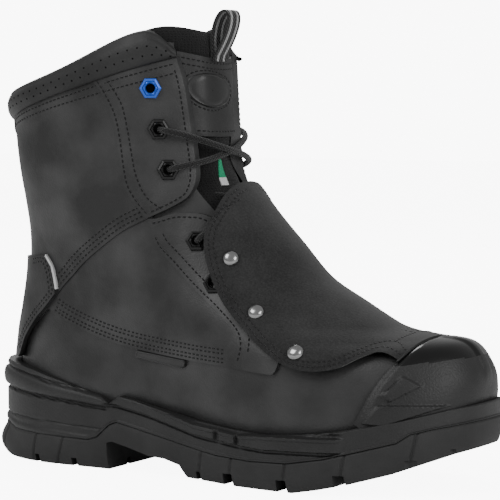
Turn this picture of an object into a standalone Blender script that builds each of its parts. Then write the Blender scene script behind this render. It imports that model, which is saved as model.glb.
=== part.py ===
# Metatarsal guard work boot, right foot, standing on its sole.
# Metres, +Z up, toe towards +X, inner (medial) side towards +Y, floor at z = 0.

import bpy
import bmesh
from math import cos, pi, sin, sqrt
from mathutils import Matrix, Vector
from mathutils.bvhtree import BVHTree

# Driving sizes of the boot
SOLE_LENGTH = 0.322
BALL_WIDTH = 0.118
COLLAR_HEIGHT = 0.250      # front of the collar above the floor
SOLE_WALL_HEIGHT = 0.060   # top of the sole's wall behind the heel
BED_HEIGHT = 0.033         # where the upper's lower edge stands at the heel
TOE_SWING = 0.009          # how far the toe leans to the inner side

# Walls and clearances
UPPER_WALL = 0.0022
MATING_GAP = 0.0003
QUARTER_LEATHER = 0.0014
SHAFT_LEATHER = 0.0022
EYESTAY_LEATHER = 0.0030
FACING_LEATHER = 0.0018
COUNTER_LEATHER = 0.0016
CUFF_LEATHER = 0.0018
CUFF_PADDING = 0.0034
BUMPER_EDGE = 0.0034
BUMPER_BASE = 0.0046
HEEL_FLARE = 0.0050
INSOLE_THICKNESS = 0.0040
TONGUE_THICKNESS = 0.0040
TONGUE_PADDING = 0.0045
TONGUE_LEATHER = 0.0014
TONGUE_CLEARANCE = 0.0006
TONGUE_WING_FALL = 0.030
GUARD_THICKNESS = 0.0032
GUARD_STANDOFF = 0.0057
GUARD_TOE_STANDOFF = 0.0006

# Fittings
EYELET_ACROSS = 0.0130
EYELET_HOLE = 0.0052
EYELET_THICKNESS = 0.0022
EYELET_CLEARANCE = 0.0009
SEAT_REACH = 0.010         # how far above a carrier the search for its surface starts
RIVET_DIAMETER = 0.0095
RIVET_RISE = 0.0026
LACE_DIAMETER = 0.0038
LOOP_WIDTH = 0.0130
LOOP_THICKNESS = 0.0014
LOOP_HEIGHT = 0.0280
LOOP_DEPTH = 0.0130
LOOP_LEAN = 0.28
LOOP_TURN = -0.985
LOOP_ROW = 0.985
WEBBING_WIDTH = 0.0200
WEBBING_THICKNESS = 0.0014
WEBBING_STANDOFF = 0.0012
STRIP_WIDTH = 0.0180
PATCH_WIDTH = 0.0320
PATCH_HEIGHT = 0.0200
PATCH_THICKNESS = 0.0012
BADGE_TURN = -0.935        # the badge sits a little to the lateral side of the tongue's middle
BADGE_ROW = 0.915
LABEL_TURN = -0.965
LABEL_SPREAD = 0.030
LABEL_THICKNESS = 0.0005
TAG_THICKNESS = 0.0014
PANEL_REACH = 0.1          # how far side cutters reach across the boot
QUARTER_FLOOR = 0.246      # lower edge of the quarter behind the band, share of COLLAR_HEIGHT

# Mesh density of the upper
SIDE_COLUMNS = 11
FRONT_COLUMNS = 3
THROAT_ROW = 0.40
UPPER_ROWS = (0.0, 0.04, 0.09, 0.14, 0.19, 0.24, 0.29, 0.34, THROAT_ROW,
              0.47, 0.54, 0.61, 0.68, 0.735, 0.78, 0.82, 0.90, 1.0)

# The upper as rings from the lower edge (row 0) to the collar (row 1).
# back x, front x: shares of SOLE_LENGTH. back z, front z, lift: shares of the rise from
# BED_HEIGHT to COLLAR_HEIGHT. Half widths at heel, waist, ball and toe: shares of BALL_WIDTH.
RING_COLUMNS = ("row", "back_x", "back_z", "front_x", "front_z", "lift",
                "lat_heel", "lat_waist", "lat_ball", "lat_toe",
                "med_heel", "med_waist", "med_ball", "med_toe")
RINGS = (
    (0.000, -0.463, 0.000, 0.466, 0.046, -0.062, 0.297, 0.322, 0.449, 0.441, 0.297, 0.288, 0.415, 0.432),
    (0.090, -0.469, 0.078, 0.474, 0.111, -0.060, 0.322, 0.347, 0.475, 0.449, 0.322, 0.314, 0.441, 0.441),
    (0.150, -0.467, 0.131, 0.471, 0.164, -0.043, 0.322, 0.347, 0.468, 0.425, 0.322, 0.319, 0.440, 0.420),
    (0.200, -0.463, 0.175, 0.446, 0.214, -0.030, 0.321, 0.347, 0.454, 0.392, 0.322, 0.323, 0.430, 0.380),
    (0.245, -0.459, 0.214, 0.388, 0.228, -0.020, 0.318, 0.347, 0.438, 0.352, 0.318, 0.328, 0.418, 0.325),
    (0.310, -0.451, 0.270, 0.312, 0.247, -0.010, 0.310, 0.345, 0.412, 0.320, 0.312, 0.331, 0.397, 0.290),
    (0.440, -0.438, 0.382, 0.180, 0.336, 0.000, 0.297, 0.339, 0.364, 0.288, 0.305, 0.331, 0.356, 0.265),
    (0.555, -0.436, 0.484, 0.102, 0.446, 0.000, 0.297, 0.347, 0.339, 0.271, 0.305, 0.339, 0.331, 0.263),
    (0.665, -0.441, 0.576, 0.028, 0.560, 0.000, 0.314, 0.356, 0.331, 0.271, 0.322, 0.356, 0.331, 0.275),
    (0.750, -0.447, 0.650, -0.020, 0.654, 0.005, 0.331, 0.364, 0.339, 0.280, 0.339, 0.373, 0.352, 0.325),
    (0.830, -0.452, 0.724, -0.032, 0.770, 0.018, 0.347, 0.373, 0.347, 0.288, 0.356, 0.390, 0.366, 0.345),
    (1.000, -0.460, 0.853, -0.040, 0.986, 0.052, 0.356, 0.381, 0.356, 0.297, 0.364, 0.407, 0.383, 0.350),
)
WIDTH_STATIONS = (0.12, 0.38, 0.70, 0.90)

# Where the throat's edges lie round each ring (0 is the back, 1 is the front centre)
THROAT_EDGE = ((0.0, 0.80), (0.40, 0.90), (0.55, 0.86), (0.70, 0.81), (1.0, 0.79))
MEDIAL_THROAT_SHIFT = 0.050

# The sole's outline: half widths as shares of BALL_WIDTH at shares of its length
SOLE_WIDTHS = (
    # along, lateral, medial
    (0.00, 0.350, 0.350),
    (0.14, 0.356, 0.356),
    (0.36, 0.365, 0.318),
    (0.52, 0.440, 0.370),
    (0.70, 0.508, 0.472),
    (0.88, 0.500, 0.470),
    (1.00, 0.450, 0.440),
)
SOLE_STATIONS = (0.0, 0.004, 0.018, 0.044, 0.078, 0.122, 0.178, 0.233, 0.283, 0.298, 0.314,
                 0.352, 0.407, 0.469, 0.525, 0.5745, 0.640, 0.705, 0.761, 0.811, 0.854,
                 0.891, 0.925, 0.953, 0.975, 0.991, 1.0)

# Heights along the sole, as shares of SOLE_WALL_HEIGHT
WALL_TOP = ((0.0, 1.0), (0.05, 0.985), (0.12, 0.930), (0.20, 0.830), (0.28, 0.725), (0.300, 0.665),
            (0.322, 0.745), (0.36, 0.715), (0.39, 0.680), (0.50, 0.580), (0.58, 0.540), (0.65, 0.525),
            (0.72, 0.555), (0.78, 0.595), (0.81, 0.625), (0.83, 0.650), (0.90, 0.730), (0.96, 0.815),
            (1.0, 0.850))
TREAD_LINE = ((0.0, 0.385), (0.04, 0.365), (0.07, 0.317), (0.137, 0.300), (0.25, 0.283), (0.27, 0.317),
              (0.298, 0.450), (0.314, 0.483), (0.38, 0.417), (0.46, 0.350), (0.545, 0.283),
              (0.62, 0.267), (0.70, 0.283), (0.77, 0.350), (0.83, 0.433), (0.89, 0.520),
              (0.91, 0.600), (0.94, 0.640), (1.0, 0.700))
TREAD_BOTTOM = ((0.0, 0.0), (0.30, 0.0), (0.46, 0.020), (0.525, 0.010), (0.5745, 0.0), (0.705, 0.0),
                (0.755, 0.050), (0.811, 0.117), (0.885, 0.225), (0.913, 0.283), (0.96, 0.375),
                (1.0, 0.433))
# The arch between heel breast and forefoot: share of the length, share of SOLE_WALL_HEIGHT
ARCH = ((0.292, -0.10), (0.292, 0.27), (0.304, 0.285), (0.335, 0.250), (0.385, 0.185),
        (0.425, 0.175), (0.460, 0.135), (0.474, 0.030), (0.480, -0.10))

# Steps up the sole's side: height shares between tread line and wall top, and how far
# each stands out, for the heel and for the forefoot
SIDE_STEPS = (
    # heel share, heel out, fore share, fore out
    (0.00, -0.0003, 0.00, -0.0003),
    (0.09, 0.0008, 0.12, 0.0004),
    (0.34, 0.0010, 0.38, 0.0002),
    (0.56, 0.0002, 0.44, -0.0008),
    (0.61, -0.0016, 0.49, 0.0009),
    (0.67, -0.0016, 0.80, 0.0010),
    (0.71, 0.0003, 0.85, -0.0007),
    (0.85, 0.0012, 0.93, -0.0004),
    (1.00, -0.0012, 1.00, -0.0012),
)

# Channels across the tread: share of the length, width, height (metres)
CHANNELS = (
    (0.130, 0.0040, 0.0050),
    (0.217, 0.0045, 0.0050),
    (0.503, 0.0025, 0.0050),
    (0.572, 0.0075, 0.0070),
    (0.687, 0.0075, 0.0070),
    (0.795, 0.0075, 0.0062),
    (0.908, 0.0065, 0.0050),
    (0.962, 0.0030, 0.0040),
)
CHANNEL_CLEAR = 0.004      # how far a cutter runs past the surface

# Panel outlines seen from the side: x as shares of SOLE_LENGTH, z of COLLAR_HEIGHT
DIAGONAL = ((-0.352, 0.380), (-0.329, 0.404), (-0.299, 0.442), (-0.258, 0.488), (-0.217, 0.526),
            (-0.165, 0.570), (-0.117, 0.600))
EYESTAY_BACK = ((-0.117, 0.600), (-0.145, 0.638), (-0.162, 0.673), (-0.170, 0.720), (-0.176, 0.782),
                (-0.185, 0.836), (-0.203, 0.883), (-0.226, 0.925))
EYESTAY_FRONT = ((-0.117, 0.600), (-0.092, 0.614), (-0.066, 0.632), (-0.048, 0.652), (-0.043, 0.682),
                 (-0.046, 0.720), (-0.052, 0.782), (-0.057, 0.836), (-0.066, 0.921), (-0.078, 0.985))
MEDIAL_LAP = 0.0060        # how much further the medial eyestay reaches over the throat
CUFF_LINE = ((-0.56, 0.800), (-0.463, 0.818), (-0.396, 0.847), (-0.316, 0.881), (-0.221, 0.918),
             (-0.142, 0.948), (-0.077, 0.974), (0.02, 1.010))
BAND_LINE = ((-0.348, 0.374), (-0.299, 0.346), (-0.222, 0.314), (-0.147, 0.294), (-0.023, 0.278),
             (0.076, 0.271))
FACING_BACK = ((0.076, 0.271), (0.087, 0.293), (0.092, 0.320), (0.082, 0.348), (0.039, 0.394),
               (-0.014, 0.444), (-0.060, 0.495), (-0.097, 0.539), (-0.117, 0.600))
FACING_FRONT = ((0.076, 0.271), (0.155, 0.263), (0.169, 0.265), (0.180, 0.300), (0.195, 0.360),
                (0.185, 0.440), (0.120, 0.530), (0.050, 0.580), (0.000, 0.600), (-0.023, 0.612),
                (-0.045, 0.614), (-0.067, 0.613), (-0.100, 0.600), (-0.117, 0.600))
COUNTER = ((-0.56, 0.486), (-0.406, 0.496), (-0.356, 0.503), (-0.337, 0.476), (-0.327, 0.437),
           (-0.324, 0.413), (-0.345, 0.385), (-0.375, 0.352), (-0.413, 0.299))
# The counter's foot: share of SOLE_LENGTH, height over the sole's wall in metres
COUNTER_FOOT = ((-0.432, 0.0035), (-0.440, 0.00175), (-0.56, 0.00175))
PIPING = ((-0.350, 0.505), (-0.333, 0.478), (-0.323, 0.447), (-0.319, 0.424))
PIPING_WIDTH = 0.0020
BUMPER_BACK = ((0.313, 0.151), (0.328, 0.189), (0.345, 0.240), (0.363, 0.279), (0.379, 0.303),
               (0.390, 0.326), (0.395, 0.350), (0.397, 0.420))
GUARD_EDGE = ((0.019, 0.685), (0.014, 0.668), (0.007, 0.615), (0.001, 0.570), (0.010, 0.518),
              (0.037, 0.452), (0.071, 0.402), (0.132, 0.339), (0.163, 0.313), (0.198, 0.290),
              (0.241, 0.278), (0.285, 0.284), (0.314, 0.305), (0.337, 0.319), (0.359, 0.316),
              (0.385, 0.299))
GUARD_TOP = (0.060, 0.715)  # a corner clear of the guard, in front of its top edge
TAG = ((-0.141, 0.290), (-0.143, 0.276), (-0.039, 0.257), (-0.030, 0.262), (-0.028, 0.275))

# Eyelets and rivets, from the top down, in the same shares
EYELETS = ((-0.113, 0.902), (-0.100, 0.807), (-0.084, 0.713), (-0.020, 0.550), (0.024, 0.455))
RIVETS = ((0.052, 0.514), (0.120, 0.399), (0.215, 0.318))


def srgb(hex_colour):
    channels = [int(hex_colour[i:i + 2], 16) / 255 for i in (1, 3, 5)]
    return [c / 12.92 if c <= 0.04045 else ((c + 0.055) / 1.055) ** 2.4 for c in channels] + [1.0]


def finish(name, colour, roughness, metallic=0.0):
    material = bpy.data.materials.new(name)
    material.use_nodes = True
    shader = material.node_tree.nodes["Principled BSDF"]
    shader.inputs["Base Color"].default_value = srgb(colour)
    shader.inputs["Roughness"].default_value = roughness
    shader.inputs["Metallic"].default_value = metallic
    return material


def blend(low, high, at):
    share = min(max((at - low) / (high - low), 0.0), 1.0)
    return share * share * (3 - 2 * share)


def through(knots, values, at):
    # A smooth curve through the rows, carried on straight past both ends
    last = len(knots) - 1

    def slope(i):
        a, b = max(i - 1, 0), min(i + 1, last)
        return (values[b] - values[a]) / (knots[b] - knots[a])

    if at <= knots[0]:
        return values[0] + slope(0) * (at - knots[0])
    if at >= knots[last]:
        return values[last] + slope(last) * (at - knots[last])
    i = max(k for k in range(last) if knots[k] <= at)
    step = knots[i + 1] - knots[i]
    s = (at - knots[i]) / step
    return (values[i] * (1 + 2 * s) * (1 - s) ** 2 + values[i + 1] * s * s * (3 - 2 * s)
            + slope(i) * step * s * (1 - s) ** 2 - slope(i + 1) * step * s * s * (1 - s))


def along(profile, at):
    # Straight runs between the rows of a profile
    for (a, low), (b, high) in zip(profile, profile[1:]):
        if at <= b:
            share = (at - a) / (b - a) if b > a else 0.0
            return low + (high - low) * max(share, 0.0)
    return profile[-1][1]


def end_round(reach, length, power):
    # 1 away from an end, falling to 0 at the end along a superellipse
    if reach >= length:
        return 1.0
    return max(1 - (1 - max(reach, 0.0) / length) ** power, 0.0) ** (1 / power)


def swing(x):
    # The toe's lean to the inner side
    share = max(x / SOLE_LENGTH - 0.06, 0.0) / 0.42
    return TOE_SWING * share * share


RING_ROWS = [ring[0] for ring in RINGS]
RING_VALUES = {name: [ring[i] for ring in RINGS] for i, name in enumerate(RING_COLUMNS)}


def ring_value(name, row):
    return through(RING_ROWS, RING_VALUES[name], row)


def upper_point(turn, row):
    # turn: 0 is the back, negative runs round the lateral side and positive round the
    # medial side, and -1 and 1 are both the front centre
    turn = (turn + 1) % 2 - 1
    side = "lat" if turn < 0 else "med"
    share = (1 - cos(pi * turn)) / 2
    rise = COLLAR_HEIGHT - BED_HEIGHT
    back_x, front_x = (SOLE_LENGTH * ring_value(n, row) for n in ("back_x", "front_x"))
    back_z, front_z, lift = (rise * ring_value(n, row) for n in ("back_z", "front_z", "lift"))
    x = back_x + (front_x - back_x) * share
    z = BED_HEIGHT + back_z + (front_z - back_z) * share + lift * sin(pi * share ** (1.8 + 0.8 * row))
    widths = [ring_value(side + n, row) for n in ("_heel", "_waist", "_ball", "_toe")]
    width = BALL_WIDTH * through(WIDTH_STATIONS, widths, share)
    width *= end_round(share, 0.20 + 0.08 * min(row, 1.0), 2.2)
    width *= end_round(1 - share, 0.30, 2.6 - 0.3 * min(row / 0.4, 1.0))
    return Vector((x, swing(x) + (-width if side == "lat" else width), z))


def upper_normal(turn, row):
    step = 0.006
    around = upper_point(turn + step, row) - upper_point(turn - step, row)
    up = upper_point(turn, row + step) - upper_point(turn, row - step)
    return up.cross(around).normalized()


def offset_point(turn, row, out):
    return upper_point(turn, row) + upper_normal(turn, row) * out


def find_on_side(x, z, side, out=0.0):
    # The turn and row whose point, this far out, has this x and z on the lateral (-1) or
    # medial (1) side
    turn, row = 0.5, 0.5
    for _ in range(40):
        here = offset_point(side * turn, row, out)
        d_turn = (offset_point(side * (turn + 0.01), row, out) - here) / 0.01
        d_row = (offset_point(side * turn, row + 0.01, out) - here) / 0.01
        gap_x, gap_z = x - here.x, z - here.z
        det = d_turn.x * d_row.z - d_turn.z * d_row.x
        turn += 0.7 * (gap_x * d_row.z - gap_z * d_row.x) / det
        row += 0.7 * (d_turn.x * gap_z - d_turn.z * gap_x) / det
        turn = min(max(turn, 0.02), 0.985)
        row = min(max(row, 0.0), 1.1)
    return side * turn, row


def side_shares(points):
    return [(x * SOLE_LENGTH, z * COLLAR_HEIGHT) for x, z in points]


def new_object(name, mesh_builder, material, smooth=True):
    mesh = bpy.data.meshes.new(name)
    bm = bmesh.new()
    mesh_builder(bm)
    bmesh.ops.remove_doubles(bm, verts=bm.verts, dist=1e-6)
    bmesh.ops.delete(bm, geom=[v for v in bm.verts if not v.link_faces], context="VERTS")
    bmesh.ops.recalc_face_normals(bm, faces=bm.faces)
    if bm.calc_volume(signed=True) < 0:
        bmesh.ops.reverse_faces(bm, faces=bm.faces)
    bm.to_mesh(mesh)
    bm.free()
    if smooth:
        mesh.shade_smooth()
    if material:
        mesh.materials.append(material)
    thing = bpy.data.objects.new(name, mesh)
    bpy.context.scene.collection.objects.link(thing)
    return thing


def build_sheet(bm, grid, inner, outer, closed=False, left_out=None):
    # A wall over a grid of (turn, row), from its inner offset to its outer offset
    rows, columns = len(grid), len(grid[0])
    skins = []
    for offset in (outer, inner):
        skins.append([[bm.verts.new(offset_point(a, v, offset(a, v))) for a, v in line] for line in grid])
    cells = columns if closed else columns - 1

    def held(i, j):
        if not 0 <= j < rows - 1:
            return False
        if not closed and not 0 <= i < cells:
            return False
        return not (left_out and left_out(i % columns, j))

    for j in range(rows - 1):
        for i in range(cells):
            if not held(i, j):
                continue
            k = (i + 1) % columns
            for skin in skins:
                # Split the same way in every sheet, so that stacked sheets stay parallel
                bm.faces.new((skin[j][i], skin[j][k], skin[j + 1][k]))
                bm.faces.new((skin[j][i], skin[j + 1][k], skin[j + 1][i]))
            edges = (((i, j), (k, j), held(i, j - 1)), ((i, j + 1), (k, j + 1), held(i, j + 1)),
                     ((i, j), (i, j + 1), held(i - 1, j)), ((k, j), (k, j + 1), held(i + 1, j)))
            for (a, b), (c, d), neighbour in edges:
                if not neighbour:
                    bm.faces.new((skins[0][b][a], skins[0][d][c], skins[1][d][c], skins[1][b][a]))


def throat_turn(row, side):
    edge = through([e[0] for e in THROAT_EDGE], [e[1] for e in THROAT_EDGE], min(row, 1.0))
    return side * (edge + (MEDIAL_THROAT_SHIFT if side > 0 else 0.0))


def upper_grid(rows):
    # Rings whose columns follow the throat's edges, then cross the front
    grid = []
    for row in rows:
        lateral, medial = throat_turn(row, -1), throat_turn(row, 1)
        turns = [lateral * (1 - i / SIDE_COLUMNS) for i in range(SIDE_COLUMNS)]
        turns += [medial * i / SIDE_COLUMNS for i in range(SIDE_COLUMNS + 1)]
        turns += [medial + (1 - medial) * i / FRONT_COLUMNS for i in range(1, FRONT_COLUMNS + 1)]
        turns += [-1 + (1 + lateral) * i / FRONT_COLUMNS for i in range(1, FRONT_COLUMNS)]
        grid.append([(turn, row) for turn in turns])
    return grid


def in_throat(rows):
    def left_out(i, j):
        return i >= 2 * SIDE_COLUMNS and rows[j] >= THROAT_ROW - 1e-6
    return left_out


def constant(value):
    return lambda turn, row: value


def build_prism(bm, outline, low_y, high_y):
    near = [bm.verts.new((x, low_y, z)) for x, z in outline]
    far = [bm.verts.new((x, high_y, z)) for x, z in outline]
    bm.faces.new(near)
    bm.faces.new(far)
    count = len(outline)
    for i in range(count):
        k = (i + 1) % count
        bm.faces.new((near[i], near[k], far[k], far[i]))


def cut_with(thing, name, operation, mesh_builder):
    cutter = new_object(name, mesh_builder, None, smooth=False)
    cutter.hide_render = True
    cutter.display_type = "WIRE"
    change = thing.modifiers.new(name, "BOOLEAN")
    change.operation = operation
    change.solver = "EXACT"
    change.object = cutter


def smooth_line(points, count):
    # Points spread along a smooth curve through a few
    reach = [0.0]
    for (ax, az), (bx, bz) in zip(points, points[1:]):
        reach.append(reach[-1] + sqrt((bx - ax) ** 2 + (bz - az) ** 2))
    xs, zs = [p[0] for p in points], [p[1] for p in points]
    steps = [reach[-1] * i / (count - 1) for i in range(count)]
    return [(through(reach, xs, s), through(reach, zs, s)) for s in steps]


def shifted(points, dx, dz):
    return [(x + dx, z + dz) for x, z in points]


def over_the_front(i, j):
    return i >= 2 * SIDE_COLUMNS


def behind_the_toe(i, j):
    half = SIDE_COLUMNS // 2
    return SIDE_COLUMNS - half <= i < SIDE_COLUMNS + half


def panel(name, rows, outer, outline, material, inner=MATING_GAP, low_y=-PANEL_REACH,
          high_y=PANEL_REACH, left_out=over_the_front):
    # A piece of the upper's own surface, cut out by an outline seen from the side
    grid = upper_grid(rows)
    thing = new_object(
        name, lambda bm: build_sheet(bm, grid, constant(inner), outer, True, left_out), material)
    cut_with(thing, name + "_outline", "INTERSECT",
             lambda bm: build_prism(bm, outline, low_y, high_y))
    return thing


def side_reach(side):
    return (-PANEL_REACH, 0.0) if side < 0 else (0.0, PANEL_REACH)


def upper_rows(low, high):
    return [row for row in UPPER_ROWS if low - 1e-6 <= row <= high + 1e-6]


def sole_outline(station, side, out):
    # A point of the sole's outline, moved out along the outline's own normal
    def base(s):
        names = [w[0] for w in SOLE_WIDTHS]
        width = through(names, [w[1] if side < 0 else w[2] for w in SOLE_WIDTHS], s)
        width *= BALL_WIDTH * end_round(s, 0.19, 2.2) * end_round(1 - s, 0.28, 2.4)
        x = SOLE_LENGTH * (s - 0.5)
        return Vector((x, swing(x) + side * width))

    if station in (0.0, 1.0):
        here = base(station)
        here.x += out if station else -out
        return here
    here = base(station)
    run = (base(min(station + 0.002, 1.0)) - base(max(station - 0.002, 0.0))).normalized()
    return here + Vector((-run.y, run.x)) * out * side


def build_sole(bm, levels):
    # Closed body from outline loops; levels gives (out, height) for each station and level
    count = len(SOLE_STATIONS)
    loops = []
    for level in levels:
        sides = {}
        for side in (-1, 1):
            sides[side] = []
            for i, station in enumerate(SOLE_STATIONS):
                if side > 0 and i in (0, count - 1):
                    sides[side].append(sides[-1][i])
                    continue
                out, height = level(station)
                spot = sole_outline(station, side, out)
                sides[side].append(bm.verts.new((spot.x, spot.y, height)))
        loops.append(sides)
    for low, high in zip(loops, loops[1:]):
        for side in (-1, 1):
            for i in range(count - 1):
                bm.faces.new((low[side][i], low[side][i + 1], high[side][i + 1], high[side][i]))
    for cap in (loops[0], loops[-1]):
        for i in range(count - 1):
            corners = [cap[-1][i], cap[-1][i + 1], cap[1][i + 1], cap[1][i]]
            bm.faces.new(list(dict.fromkeys(corners)))


def make_midsole(rubber):
    def level(step):
        heel_share, heel_out, fore_share, fore_out = step

        def at(station):
            fore = blend(0.277, 0.312, station)
            toe = blend(0.80, 0.86, station)
            share = heel_share + (fore_share - heel_share) * fore
            out = heel_out + (fore_out - heel_out) * fore
            out *= 1 - 0.8 * toe if share < 0.99 else 1
            low = along(TREAD_LINE, station) * SOLE_WALL_HEIGHT
            high = along(WALL_TOP, station) * SOLE_WALL_HEIGHT
            return out, low + (high - low) * share
        return at

    midsole = new_object("midsole", lambda bm: build_sole(bm, [level(s) for s in SIDE_STEPS]), rubber)

    def build_plug(bm):
        # The upper's outer form with its clearance, from just under its lower edge
        rows = upper_rows(0.0, 0.24)
        grid = upper_grid(rows)
        loops = [[offset_point(a, v, MATING_GAP) for a, v in line] for line in grid]
        floor = [p - Vector((0, 0, MATING_GAP)) for p in loops[0]]
        ceiling = [p + Vector((0, 0, 0.02)) for p in loops[-1]]
        rings = [[bm.verts.new(p) for p in loop] for loop in [floor] + loops + [ceiling]]
        count = len(rings[0])
        for low, high in zip(rings, rings[1:]):
            for i in range(count):
                k = (i + 1) % count
                bm.faces.new((low[i], low[k], high[k]))
                bm.faces.new((low[i], high[k], high[i]))
        cap_ring(bm, rings[0])
        cap_ring(bm, rings[-1])

    cut_with(midsole, "midsole_recess", "DIFFERENCE", build_plug)
    return midsole


def cap_ring(bm, ring):
    # Strips across a ring of the upper, from its lateral columns to its medial ones
    back, front = SIDE_COLUMNS, 2 * SIDE_COLUMNS + FRONT_COLUMNS
    count = len(ring)
    half = front - back
    for step in range(half):
        corners = [ring[(back - step) % count], ring[(back - step - 1) % count],
                   ring[back + step + 1], ring[back + step]]
        bm.faces.new(list(dict.fromkeys(corners)))


def make_outsole(rubber):
    def level(share, heel_out, fore_out):
        def at(station):
            out = heel_out + (fore_out - heel_out) * blend(0.30, 0.45, station)
            out += HEEL_FLARE * (1 - blend(0.0, 0.09, station)) * sin(pi * min(share + 0.12, 1.0))
            high = along(TREAD_LINE, station) * SOLE_WALL_HEIGHT - MATING_GAP
            low = along(TREAD_BOTTOM, station) * SOLE_WALL_HEIGHT
            return out, low + (high - low) * share
        return at

    levels = [level(0.0, -0.0032, -0.0036), level(0.14, -0.0020, -0.0022), level(0.45, -0.0010, -0.0010),
              level(1.0, -0.0002, -0.0004)]
    outsole = new_object("outsole", lambda bm: build_sole(bm, levels), rubber, smooth=False)
    arch = [(SOLE_LENGTH * (s - 0.5), SOLE_WALL_HEIGHT * z) for s, z in ARCH]
    cut_with(outsole, "outsole_arch", "DIFFERENCE",
             lambda bm: build_prism(bm, arch, -BALL_WIDTH, BALL_WIDTH))

    def build_channels(bm):
        for station, width, height in CHANNELS:
            x = SOLE_LENGTH * (station - 0.5)
            floor = along(TREAD_BOTTOM, station) * SOLE_WALL_HEIGHT
            corners = [(x - width / 2, floor - CHANNEL_CLEAR), (x + width / 2, floor - CHANNEL_CLEAR),
                       (x + width * 0.42, floor + height), (x - width * 0.42, floor + height)]
            build_prism(bm, corners, -BALL_WIDTH, BALL_WIDTH)

    cut_with(outsole, "outsole_channels", "DIFFERENCE", build_channels)
    return outsole


def make_upper(leather):
    grid = upper_grid(UPPER_ROWS)
    return new_object(
        "upper",
        lambda bm: build_sheet(bm, grid, constant(-UPPER_WALL), constant(0.0), True, in_throat(UPPER_ROWS)),
        leather)


def make_insole(fabric):
    # A footbed that lies inside the upper's lower edge, on the midsole
    side_gap = UPPER_WALL + 2 * MATING_GAP

    def build(bm):
        grid = upper_grid((0.0,))[0]
        foot = []
        for turn, row in grid:
            spot = upper_point(turn, row)
            centre = (upper_point(0, row) + upper_point(1, row)) / 2
            normal = upper_normal(turn, row)
            flat = Vector((normal.x, normal.y, 0)).normalized()
            foot.append(spot - flat * (side_gap + 0.0008) + Vector((0, 0, MATING_GAP)))
        low = [bm.verts.new(p) for p in foot]
        high = [bm.verts.new(p + Vector((0, 0, INSOLE_THICKNESS))) for p in foot]
        count = len(low)
        for i in range(count):
            k = (i + 1) % count
            bm.faces.new((low[i], low[k], high[k], high[i]))
        cap_ring(bm, low)
        cap_ring(bm, high)

    return new_object("insole", build, fabric)


def make_bumper(rubber):
    rows = upper_rows(0.0, 0.34)
    base = [(SOLE_LENGTH * (s - 0.5), along(WALL_TOP, s) * SOLE_WALL_HEIGHT + MATING_GAP)
            for s in (1.0, 0.975, 0.953, 0.925, 0.891, 0.854, 0.832)]
    back = smooth_line(side_shares(BUMPER_BACK), 9)[1:]
    top = COLLAR_HEIGHT * 0.42
    front = SOLE_LENGTH * 0.56
    outline = [(front, base[0][1] + 0.002)] + base + back + [(front, top)]

    def outer(turn, row):
        return BUMPER_BASE + (BUMPER_EDGE - BUMPER_BASE) * blend(0.05, 0.20, row)

    return panel("toe_bumper", rows, outer, outline, rubber, left_out=behind_the_toe)


def make_leather_panels(leather):
    diagonal = smooth_line(side_shares(DIAGONAL), 9)
    eyestay_back = smooth_line(side_shares(EYESTAY_BACK), 8)
    cuff = smooth_line(side_shares(CUFF_LINE), 12)
    band = smooth_line(side_shares(BAND_LINE), 7)
    facing_back = smooth_line(side_shares(FACING_BACK), 9)
    behind = SOLE_LENGTH * -0.56
    gap = MATING_GAP
    corner_x = eyestay_back[-1][0]
    corner_z = eyestay_back[0][1]

    def under_cuff(low_x, high_x):
        # The run along the cuff's lower edge, from the front to the back
        ends = [(x, along(cuff, x)) for x in (high_x, low_x)]
        return shifted(ends[:1] + [p for p in cuff[::-1] if low_x < p[0] < high_x] + ends[1:], 0, -gap)

    # The shaft panel: above the diagonal seam, behind the eyestay, below the cuff
    low_x, low_z = diagonal[0]
    shaft = shifted(diagonal, -gap, gap)[:-1] + shifted(eyestay_back, -gap, 0)[:-1]
    shaft += under_cuff(behind, corner_x - gap) + [(behind, low_z + gap)]
    panel("shaft_panel", upper_rows(0.24, 1.0), constant(SHAFT_LEATHER + MATING_GAP), shaft, leather)
    # The quarter: from the band seam up to the diagonal and to the lower facing
    floor = COLLAR_HEIGHT * QUARTER_FLOOR
    quarter = shifted(band, -gap, 0)[:-1] + shifted(facing_back, -gap, 0)[:-1]
    quarter += shifted(diagonal[::-1], gap, -gap) + [(behind, low_z - gap), (behind, floor)]
    quarter += [(SOLE_LENGTH * -0.452, floor), (SOLE_LENGTH * -0.405, COLLAR_HEIGHT * 0.315)]
    panel("quarter_panel", upper_rows(0.04, 0.82), constant(QUARTER_LEATHER + MATING_GAP), quarter, leather)
    # Facings and eyestays, one of each a side
    facing = facing_back[::-1] + smooth_line(side_shares(FACING_FRONT), 22)[1:-1]
    line = smooth_line(side_shares(EYESTAY_FRONT), 12)
    low_front = line[0][0]

    for side, name in ((-1, "lateral"), (1, "medial")):
        low_y, high_y = side_reach(side)
        panel("lower_facing_" + name, upper_rows(0.14, 0.82), constant(FACING_LEATHER),
              shifted(facing, gap, -gap), leather, low_y=low_y, high_y=high_y)
        lap = MEDIAL_LAP if side > 0 else 0.0
        front = [(x + lap * blend(corner_z, COLLAR_HEIGHT * 0.66, z) * (x > low_front), z) for x, z in line]
        top_x = front[-1][0]
        front = [p for p in front if p[1] < along(cuff, top_x) - 2 * gap]
        eyestay = front + under_cuff(corner_x, top_x) + eyestay_back[::-1][1:-1]
        panel("eyestay_" + name, upper_rows(0.54, 1.0), constant(EYESTAY_LEATHER + MATING_GAP),
              shifted(eyestay, gap, 0), leather, low_y=low_y, high_y=high_y)
    # The counter tab and its piping lie on the quarter and the shaft panel
    over = SHAFT_LEATHER + 2 * MATING_GAP
    counter = side_shares(COUNTER)
    counter += [(SOLE_LENGTH * x, SOLE_WALL_HEIGHT + over_wall) for x, over_wall in COUNTER_FOOT]
    panel("heel_counter", upper_rows(0.04, 0.68), constant(over + COUNTER_LEATHER), counter, leather,
          inner=over)


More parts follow.
